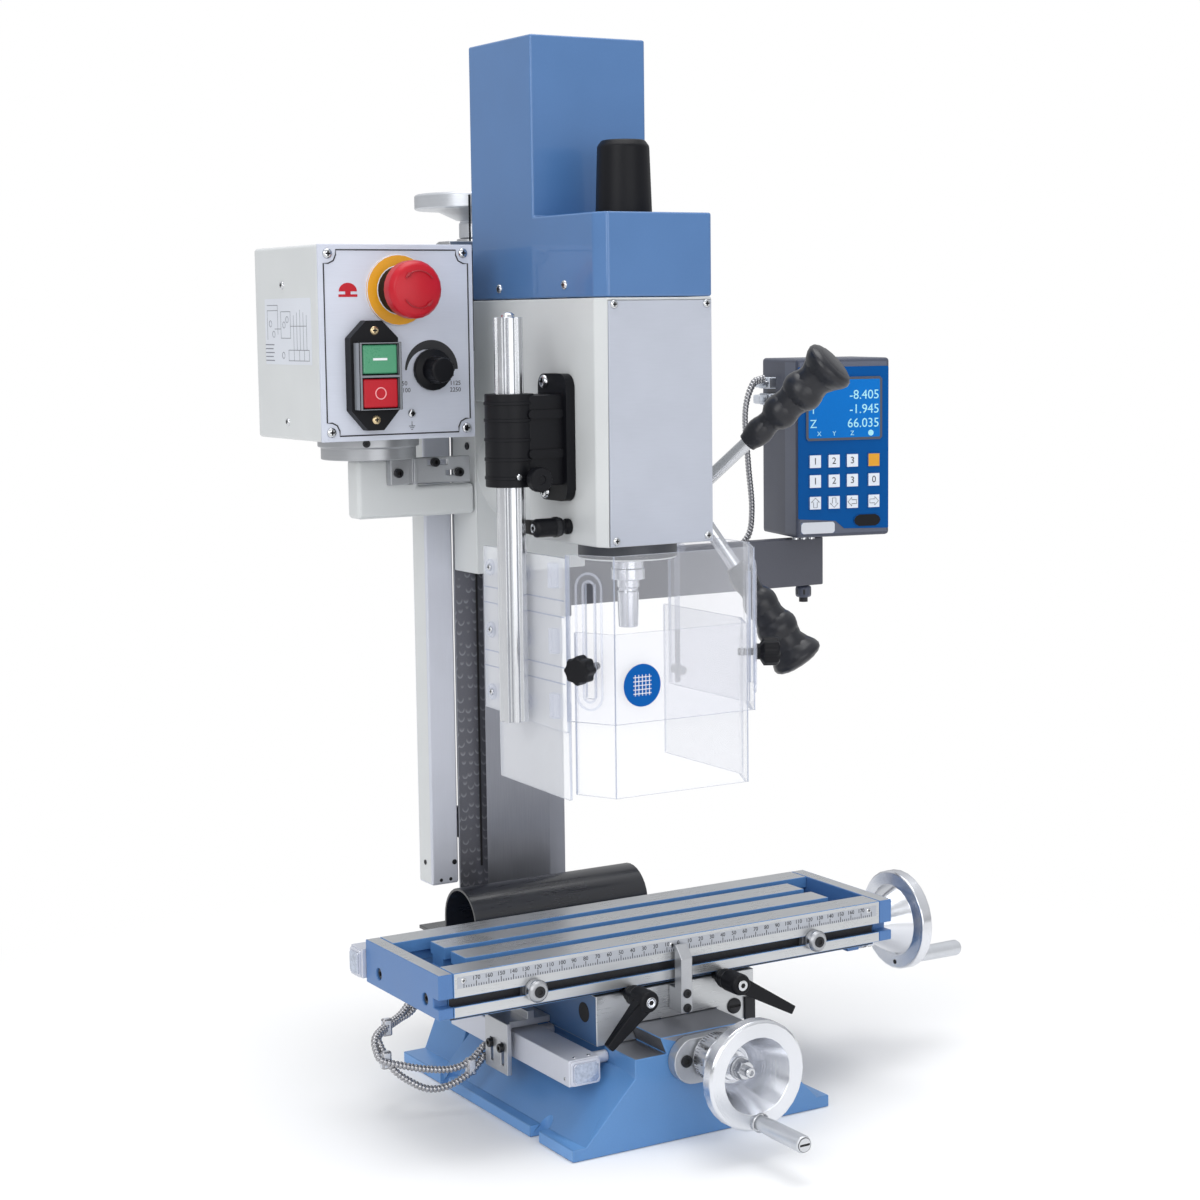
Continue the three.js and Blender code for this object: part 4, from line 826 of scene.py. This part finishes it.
# ---------------------------------------------------------------- head
refine("head_casting", ["white_paint", "boss_iron"], 1.2,
       lambda c, n: 1 if c.z < 434.5 else 0, segments=3)
# the head's front panel takes the darker copy of the panel finish, painted shade
refine("front_panel", ["head_plate"], 0.4)
refine("head_cover", ["blue_paint"], 1.6, segments=3)
refine("drawbar_cap", ["black_plastic"], 1.2, place=spot((0, 0, 676), UP), segments=3)
refine("motor", ["black_steel"], 0.6)
for n in ("motor_pulley", "spindle_pulley"):
    refine(n, ["aluminium"], 0.3)
refine("drive_belt", ["rubber"], 0.2)
refine("quill", ["steel"], 0.4)
refine("spindle", ["turned_aluminium"], 0.5, place=spot((0, 0, 0), UP))
bm = new()
for x in (-39.8, 39.8):
    for z in (610, 438.6):
        screw(bm, (x, -50, z), FRONT, 3.2, 1.4, "pan")
for s in (-1, 1):
    for y, z in ((102.9, 623.5), (2.5, 624.8)):
        screw(bm, (s * 50.3, y, z), (s, 0, 0), 3.5, 1.6, "pan")
for z in (554, 472):
    screw(bm, (-58, 21.5, z), LEFT, 5.2, 2.6, "pan")
piece("head_screws", bm, ["chrome", "hollow"], "head")

# the rod holder: plate, web and banded sleeve, with its clamp knob
ROD = (-93, 12, 0)
bm = new()
prism(bm, rounded(42, 94, 9, 10.3, 513), -7.2, 0.2, spot((-50.8, 0, 0), RIGHT, (0, 1, 0)), 0, 0.8)
bmesh.ops.recalc_face_normals(bm, faces=bm.faces)
block(bm, (-86, -4.8, 478.4), (-56, 28.6, 544.8), 0, 1.4)
rings = [(11.2, 478), (17.9, 478), (18.3, 478.5)]
for z in (483.4, 497, 511.4, 525.6, 538):
    rings += [(18.3, z), (18.9, z + 0.3), (18.9, z + 2.3), (18.3, z + 2.6)]
lathe(bm, rings + [(18.3, 545.5), (17.9, 546), (11.2, 546), (11.2, 478)], 64, spot(ROD))
for z in (502, 531):
    prism(bm, rounded(30, 6.4, 3.19, -72, z, 6), -0.6, 1.7, spot((0, -4.8, 0), FRONT, RIGHT), 0, 0.6)
ob = piece("rod_holder_skin", bm, "black_plastic", "head")
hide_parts("rod_holder")
bm = new()
lathe(bm, [(0, 0), (4.5, 0), (4.5, 8), (8.6, 8.6), (9.2, 9.6, "k"), (9.2, 15.4, "k"), (8.4, 16.4),
           (3.4, 16.6), (3, 15.8),
           (0, 15.8)], 48, spot((-84, -3, 484), FRONT))
lathe(bm, [(0, 0), (2.2, 0), (2.2, 5.4), (1.7, 6), (0, 6)], 24, spot((-97, -4, 486), FRONT), 1)
piece("rod_clamp", bm, ["black_plastic", "chrome"], "head")

# the quill's feed levers and lock
hub = Vector((77, 33.8, 460))


def capstan_paint(c, n):
    d = (c - Vector((0, 33.8, 460)))
    if math.hypot(d.y, d.z) < 23.5:
        return 1 if c.x < 62 else 0
    return 2


refine("feed_capstan", ["black_plastic", "turned_face", "rubber"], 0.0, capstan_paint, sharp=44)
STRETCH = 155 / 148.5  # the levers' length over the length that the grip is drawn at
GRIP = [(62, 7.6), (64.5, 8.1), (67, 9.2), (71, 10.4), (75, 10.8), (79, 10.3), (82.5, 9.2), (84.5, 8.9),
        (86.5, 9.6), (90, 12.2), (94, 13.8), (97, 14), (101, 13.4), (104.5, 12.1), (107, 11.6),
        (109.5, 12.4), (113, 15), (117, 16.5), (120, 16.6), (124, 15.6), (128, 13.6), (131, 12.9),
        (134, 14), (138, 17.2), (142, 19.8), (145.5, 20.9), (148, 20.2), (150, 17.8), (151.4, 13.6)]
profile = []
for (h0, r0), (h1, r1) in zip(GRIP, GRIP[1:]):
    for i in range(3):
        t = i / 3
        profile.append((r0 + (r1 - r0) * t + 0.04, (h0 + (h1 - h0) * t) * STRETCH))
bm = new()
for turn in (130.7, 250.7, 10.7):
    a, b = math.radians(turn), math.radians(28.1)  # round the hub, and out of its plane
    axis = (math.sin(b), math.cos(b) * math.cos(a), math.cos(b) * math.sin(a))
    m = spot(hub, axis)
    lathe(bm, [(0, 8), (5.25, 8), (5.25, 62 * STRETCH), (0, 62 * STRETCH)], 24, m, 1)
    lathe(bm, [(0, 61.5 * STRETCH)] + profile + [(7, 152 * STRETCH), (0, 152.2 * STRETCH)], 40, m, 0)
piece("feed_grips", bm, ["rubber", "steel"], "capstan", sharp=70, weighted=False)
refine("quill_lock_lever", ["black_plastic"], 0.8)
bm = new()
screw(bm, (-81, 0, 447), LEFT, 3.4, 0.9)
lathe(bm, [(6.6, 0, "k"), (7.7, 0.6, "k"), (7.7, 4, "k"), (6.6, 4.6, "k")], 40, spot((-60, 0, 447), LEFT), 2)
piece("quill_lock_screw", bm, ["chrome", "hollow", "black_steel"], body_of("quill_lock_lever"))

# ---------------------------------------------------------------- guard
HINGES = (415, 367, 319)  # heights of the three hinges
HINGE_BOLTS = (69, 13.5)
GUARD_LOW, GUARD_TOP = 309, 431
SLANT = (0.873, -0.488)  # way that the right slotted face looks
refine("guard_rod", ["steel"], 0.4, place=spot(ROD, UP), sharp=30)
for n, m in (("guard_left_plate", "acrylic_plate"), ("guard_front_panel", "acrylic"), ("guard_lower_panel",
                "acrylic_low")):
    refine(n, [m, "acrylic_edge"], 0.6, thin=1)
for side, s in (("left", -1), ("right", 1)):
    place = spot((s * 71.2, -62, 350), (s * SLANT[0], SLANT[1], 0))
    bm = new()
    lathe(bm, [(0, -11), (2.8, -11), (2.8, 2.6), (6, 2.6), (6, 5.4), (9.4, 7.4, "l"), (10.8, 8.4, "l"),
               (10.8, 17.4, "l"),
               (10, 19.2, "l"), (8.4, 20.1), (0, 20.2)], 64, place)
    ob = piece("guard_knob_" + side + "_skin", bm, "black_plastic", "guard_knob_" + side,
               place)
    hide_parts("guard_knob_" + side)
bm = new()
lathe(bm, [(0, -0.2), (15.6, -0.2), (15.6, 0.25), (0, 0.25)], 64, spot((-37.8, -80.1, 336.6), FRONT))
for o in range(-6, 7, 3):
    block(bm, (-38.1 + o, -80.2, 329), (-37.5 + o, -80.4, 344.4), 1, 0)
    block(bm, (-45.5, -80.2, 336.3 + o), (-30.1, -80.4, 336.9 + o), 1, 0)
piece("guard_sticker", bm, ["sticker", "white_ink"], "guard_arm", weighted=False)

# rims round the slots, hinge knuckles and bosses of the guard, all clear
bm = new()
for s in (-1, 1):
    m = spot((s * 71.6, -63.2, 369), (s * SLANT[0], SLANT[1], 0), UP)
    for w, h in ((99, 21), (88, 9.4)):
        path = [m @ Vector((x, y, 0.6)) for x, y in rounded(w, h, h / 2 - 0.01, n=10)]
        tube(bm, path, 0.9, 8, 0, True)
for z in HINGES:
    tube(bm, [(-80.5, -29.5, z - 9), (-80.5, -29.5, z + 9)], 5.2, 20)
    for y in HINGE_BOLTS:
        lathe(bm, [(0, -4), (6.2, -4), (6.2, 1.6), (5.2, 2.4), (3.4, 2.4), (3.2, 1.2), (0, 1.2)], 28,
              spot((-80, y, z - 2.5), LEFT))
tube(bm, [(81.2, 58, 311), (81.2, 58, 429)], 2.2, 12)
for z in (419, 321):
    tube(bm, [(81, 50, z), (81, 63, z)], 3.6, 16)
lathe(bm, [(3.6, 0.2), (7.5, 0.2), (7.5, 1.4), (6.6, 2), (3.6, 2), (3.6, 0.2)], 32, spot((71.6, -63.2, 350),
                (*SLANT, 0)))
piece("guard_bosses", bm, "acrylic_boss", "guard_arm")
bm = new()
for x, y in ((-60.5, -80), (60.5, -80), (-80, -45), (80, -45)):
    tube(bm, [(x, y, GUARD_LOW), (x, y, GUARD_TOP)], 0.5, 8)
for z in (397, 385, 348, 336):
    tube(bm, [(-80.2, -42, z), (-80.2, 81, z)], 0.45, 8)
piece("guard_lines", bm, "acrylic_edge", "guard_arm")
bm = new()
for x, y in ((-57.6, -75), (57.6, -75), (-73, -45), (73, -45)):
    tube(bm, [(x, y, 254.2), (x, y, 373.8)], 0.5, 8)
piece("lower_bends", bm, "acrylic_edge", "guard_lower")
bm = new()
for z in HINGES:
    for y in HINGE_BOLTS:
        screw(bm, (-81.2, y, z - 2.5), LEFT, 2.6, 1.4, "pan")
piece("guard_screws", bm, ["chrome", "hollow"], "guard_arm")

# ---------------------------------------------------------------- display
yaw = math.radians(-12.1)
inward = Vector((-math.sin(yaw), math.cos(yaw), 0))
corner = Vector((277.8, 169.3, 0))  # front left edge of the case
seam = corner + inward * 26  # where the front bezel meets the case
# the strip of the side in front of the seam gets the lighter plastic as painted light
refine("display_case", ["grey_plastic", "black_steel", "bezel_plastic"], 3.0,
       lambda c, n: 1 if c.z < 405.5 else (2 if (c - seam).dot(inward) < 0 else 0), segments=4,
       split=(seam, inward))
dx = Vector((math.cos(yaw), math.sin(yaw), 0))
disp = spot((321.4, 160, 0), -inward, dx)  # local x runs across the face, local y is Z
bm = new()
field = [(-42.4, 422.6), (-8, 420.4), (0.6, 413.2), (42.6, 412.2), (43.4, 413), (43.4, 554), (42.4, 555.4),
         (-42.6, 555.4),
         (-43.4, 554.4), (-43.4, 423.6)]
prism(bm, field, -0.3, 0.5, disp, 0, 0.15)
rim = rounded(73, 55.4, 2, 0.2, 518.8)
prism(bm, rim, 0.4, 1.6, disp, 1, 0.7)
prism(bm, rounded(68.4, 50.8, 1, 0.2, 518.8), 1.5, 1.75, disp, 2)
for i, z in enumerate((473, 455.6, 436.6)):
    for j, x in enumerate((-27.6, -9.6, 8, 28.8)):
        block(bm, (x - 5.8, z - 6, 0.3), (x + 5.8, z + 6, 1.6), 4 if (i, j) == (0, 3) else 3, 0.5, disp)
prism(bm, rounded(26, 10.2, 5, 22.4, 419.8, 8), 0.3, 1.4, disp, 5, 0.5)
prism(bm, rounded(32, 10, 2, -24.8, 414.6), -0.2, 0.9, disp, 6, 0.3)
piece("display_face", bm, ["screen_blue", "grey_plastic", "lcd", "key_white", "yellow", "black_plastic",
                "label"],
      "display")
glass = disp @ Matrix.Translation((0, 0, 1.75))
bm = new()
for tag, text, z in (("X", "-8.405", 530.4), ("Y", "-1.945", 517.9), ("Z", "66.035", 505.6)):
    words(bm, [(tag, -29.5, z, 7.4)], glass, 0)
    words(bm, [(text, 33.8, z, 8.2)], glass, 0, align="RIGHT")
words(bm, [("X", -24, 497, 4), ("Y", -9.6, 497, 4), ("Z", 7.7, 497, 4)], glass, 0)
lathe(bm, [(0, -0.1), (2.6, -0.1), (2.6, 0.12), (0, 0.12)], 24, glass @ Matrix.Translation((25.6, 497, 0)))
piece("display_digits", bm, "lcd_digit", "display", weighted=False)
keys = disp @ Matrix.Translation((0, 0, 1.6))
bm = new()
words(bm, [(w, x, z, 6) for z in (473, 455.6) for w, x in (("1", -27.6), ("2", -9.6), ("3", 8))], keys, 0)
words(bm, [("0", 28.8, 455.6, 6)], keys, 0)
for x, turn in ((-27.6, 90), (-9.6, -90), (8, 180), (28.8, 0)):
    m = keys @ Matrix.Translation((x, 436.6, 0)) @ Matrix.Rotation(math.radians(turn), 4, "Z")
    pts = [(4.4, 0), (0.6, 3.8), (0.6, 1.7), (-4, 1.7), (-4, -1.7), (0.6, -1.7), (0.6, -3.8)]
    tube(bm, [m @ Vector((p[0], p[1], 0)) for p in pts], 0.28, 4, 0, True)
piece("display_key_marks", bm, "black_ink", "display", weighted=False)

# plugs and leads on the display's left side, and the three sockets under it
bm = new()
for z, y in ((541, 58), (526.5, 56)):
    m = spot(corner + Vector((0, 0, z)) + inward * y, -dx, UP)
    block(bm, (-5.2, -12, -1), (5.2, 12, 7), 1, 1.0, m)
    block(bm, (-4, -8, 7), (4, 8, 15), 0, 1.6, m)
    for w in (-10, 10):
        lathe(bm, [(0, 7), (2, 7), (2, 12), (0, 12)], 20, m @ Matrix.Translation((0, w, 0)), 1)
for k in range(3):
    lathe(bm, [(0, 403.4), (3.2, 403.4), (3.2, 404.2, "k"), (3.2, 406.6, "k"), (0, 406.6)], 20,
          spot((288 + 7 * k, 186 - 2 * k, 0)), 1)
piece("display_plugs", bm, ["key_white", "chrome"], "display")


RIB_PITCH = 3.0


def ribbed(node, name, paths, radius, mats, ties=(), bends=False):
    """Ribbed hoses along their paths, in place of a CAD node, with square ties round them."""
    bm = new()
    for points in paths:
        path = smooth_path(points, RIB_PITCH / 4)
        tube(bm, path, lambda i: radius * (1.0, 0.95, 0.7, 0.95)[i % 4], 14)
    for x, y, z in ties:
        block(bm, (x - 4, y - 3, z - 7), (x + 4, y + 3, z + 7), 1, 1.6)
    ob = piece(name, bm, mats, None if bends else body_of(node), sharp=60, weighted=False)
    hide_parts(node)
    return ob


ribbed("scale_conduits", "ribbed_conduits",
       [[(-106, 42, 47.5), (-106, 45.5, 47), (-109.6, 48, 42), (-116, 48.6, 36.5), (-126.3, 50, 32.2),
         (-136.8, 53, 31.2), (-151.4, 58, 32.9), (-165.3, 64, 36.1), (-179.9, 72, 40.5), (-181, 80, 45.7),
         (-179.5, 86, 52.5), (-172.8, 92, 56.7), (-159.6, 100, 59.6), (-144.9, 108, 63.5), (-130, 116, 76),
         (-118, 122, 97)],
        [(-106, 42, 39.5), (-106, 45.5, 38.6), (-110, 48, 32.5), (-118.5, 48, 26.1), (-130, 50, 20.2),
         (-141.5, 53, 17.1), (-152.2, 57, 18.3), (-164, 62, 25.4), (-171.7, 68, 32.5), (-173.5, 76, 39.4),
         (-176.2, 83, 48.6), (-174.5, 90, 53.5), (-163.8, 98, 56.3), (-149.1, 106, 59), (-133.6, 112, 63.5),
         (-121, 118, 78), (-114, 122, 97)]],
       2.9, ["conduit", "label"], ((-176, 74, 40), (-163.5, 98, 57.5), (-116.5, 48.5, 31.5)))
leads = [(274, 214, 545), (262, 214, 540), (254, 214, 515), (257, 214, 470), (262, 216, 430), (258, 218, 404),
         (235, 219, 392), (180, 219, 386), (120, 219, 384), (64, 219, 384)]
beside = [[(x + s * 1.6, y + s * 2.4, z - s * 1.2) for x, y, z in leads] for s in (-1, 1)]
lead_pair = ribbed("display_leads", "ribbed_leads", beside, 2.6, ["conduit"], bends=True)
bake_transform(lead_pair)

# ---------------------------------------------------------------- floor, light and camera
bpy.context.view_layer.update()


bm = new()
FLOOR = 6000  # from the middle to a side
prism(bm, [(x * FLOOR, y * FLOOR) for x, y in ((-1, -1), (1, -1), (1, 1), (-1, 1))], -12, -0.3)
me = bpy.data.meshes.new("floor")
bm.to_mesh(me)
bm.free()
me.transform(Matrix.Scale(MM, 4))
floor = bpy.data.objects.new("floor", me)
bpy.context.scene.collection.objects.link(floor)
m = bpy.data.materials.new("floor")
m.use_nodes = True
t = m.node_tree
shader = t.nodes["Principled BSDF"]
shader.inputs["Base Color"].default_value = (0.93, 0.93, 0.93, 1)
shader.inputs["Roughness"].default_value = 0.8
shader.inputs["Specular IOR Level"].default_value = 0.2
away = add(t, "VectorMath", {0: add(t, "TexCoord").outputs["Object"]}, operation="LENGTH").outputs["Value"]
fade = add(t, "MapRange", {0: away, 1: 0.28, 2: 0.75}, interpolation_type="SMOOTHSTEP").outputs[0]
glow = add(t, "Emission", {0: (1, 1, 1, 1), 1: 1.0}).outputs[0]
t.links.new(add(t, "MixShader", {0: fade, 1: shader.outputs[0], 2: glow}).outputs[0],
            t.nodes["Material Output"].inputs[0])
me.materials.append(m)

world = bpy.data.worlds.new("studio")
bpy.context.scene.world = world
world.use_nodes = True
t = world.node_tree
t.nodes.clear()
way = add(t, "TexCoord").outputs["Generated"]
z = add(t, "SeparateXYZ", {0: way}).outputs[2]
ramp = add(t, "ValToRGB", {0: add(t, "MapRange", {0: z, 1: -1.0, 2: 1.0}).outputs[0]})
stops = [(0.0, 0.82), (0.46, 0.82), (0.52, 0.5), (0.64, 0.82), (1.0, 1.1)]
while len(ramp.color_ramp.elements) < len(stops):
    ramp.color_ramp.elements.new(0.5)
for e, (p, v) in zip(ramp.color_ramp.elements, stops):
    e.position = p
    e.color = (v * 0.99, v, v * 1.02, 1)
studio = add(t, "Background", {0: ramp.outputs[0], 1: 0.8}).outputs[0]
white = add(t, "Background", {0: (1, 1, 1, 1), 1: 1.0}).outputs[0]
path = add(t, "LightPath").outputs
seen = add(t, "Math", {0: path["Is Camera Ray"], 1: path["Is Transmission Ray"]},
           operation="MAXIMUM").outputs[0]
out = add(t, "OutputWorld")
t.links.new(add(t, "MixShader", {0: seen, 1: studio, 2: white}).outputs[0], out.inputs[0])


def lamp(name, at, to, size, power):
    """A white area light at a place, aimed at another."""
    data = bpy.data.lights.new(name, "AREA")
    data.shape = "RECTANGLE"
    data.size, data.size_y = size
    data.energy = power
    ob = bpy.data.objects.new(name, data)
    ob.location = at
    ob.rotation_euler = (Vector(to) - Vector(at)).to_track_quat("-Z", "Y").to_euler()
    bpy.context.scene.collection.objects.link(ob)


lamp("key", (-2.3, -1.3, 1.5), (0, 0, 0.4), (1.6, 1.8), 24)
lamp("fill", (-0.2, -3.0, 0.8), (0, 0, 0.3), (2.6, 1.6), 21)
lamp("top", (0.1, 0.1, 2.6), (0, 0, 0.3), (1.8, 1.8), 30)

LENS = 70.508
HEADING, DOWNWARD, ROLL = -30.733, 6.848, -0.717  # degrees
EYE = (-920.97, -1507.40, 600.51)
cam = bpy.data.cameras.new("camera")
cam.sensor_width = 36
cam.lens = LENS
a, p, r = (math.radians(v) for v in (HEADING, DOWNWARD, ROLL))
forward = Vector((-math.sin(a) * math.cos(p), math.cos(a) * math.cos(p), -math.sin(p)))
right = Vector((math.cos(a), math.sin(a), 0))
up = right.cross(forward)
right, up = math.cos(r) * right + math.sin(r) * up, -math.sin(r) * right + math.cos(r) * up
ob = bpy.data.objects.new("camera", cam)
m = Matrix((right, up, -forward)).transposed().to_4x4()
m.translation = Vector(EYE) * MM
ob.matrix_world = m
cam.clip_start = 0.05
cam.clip_end = 50
bpy.context.scene.collection.objects.link(ob)
bpy.context.scene.camera = ob
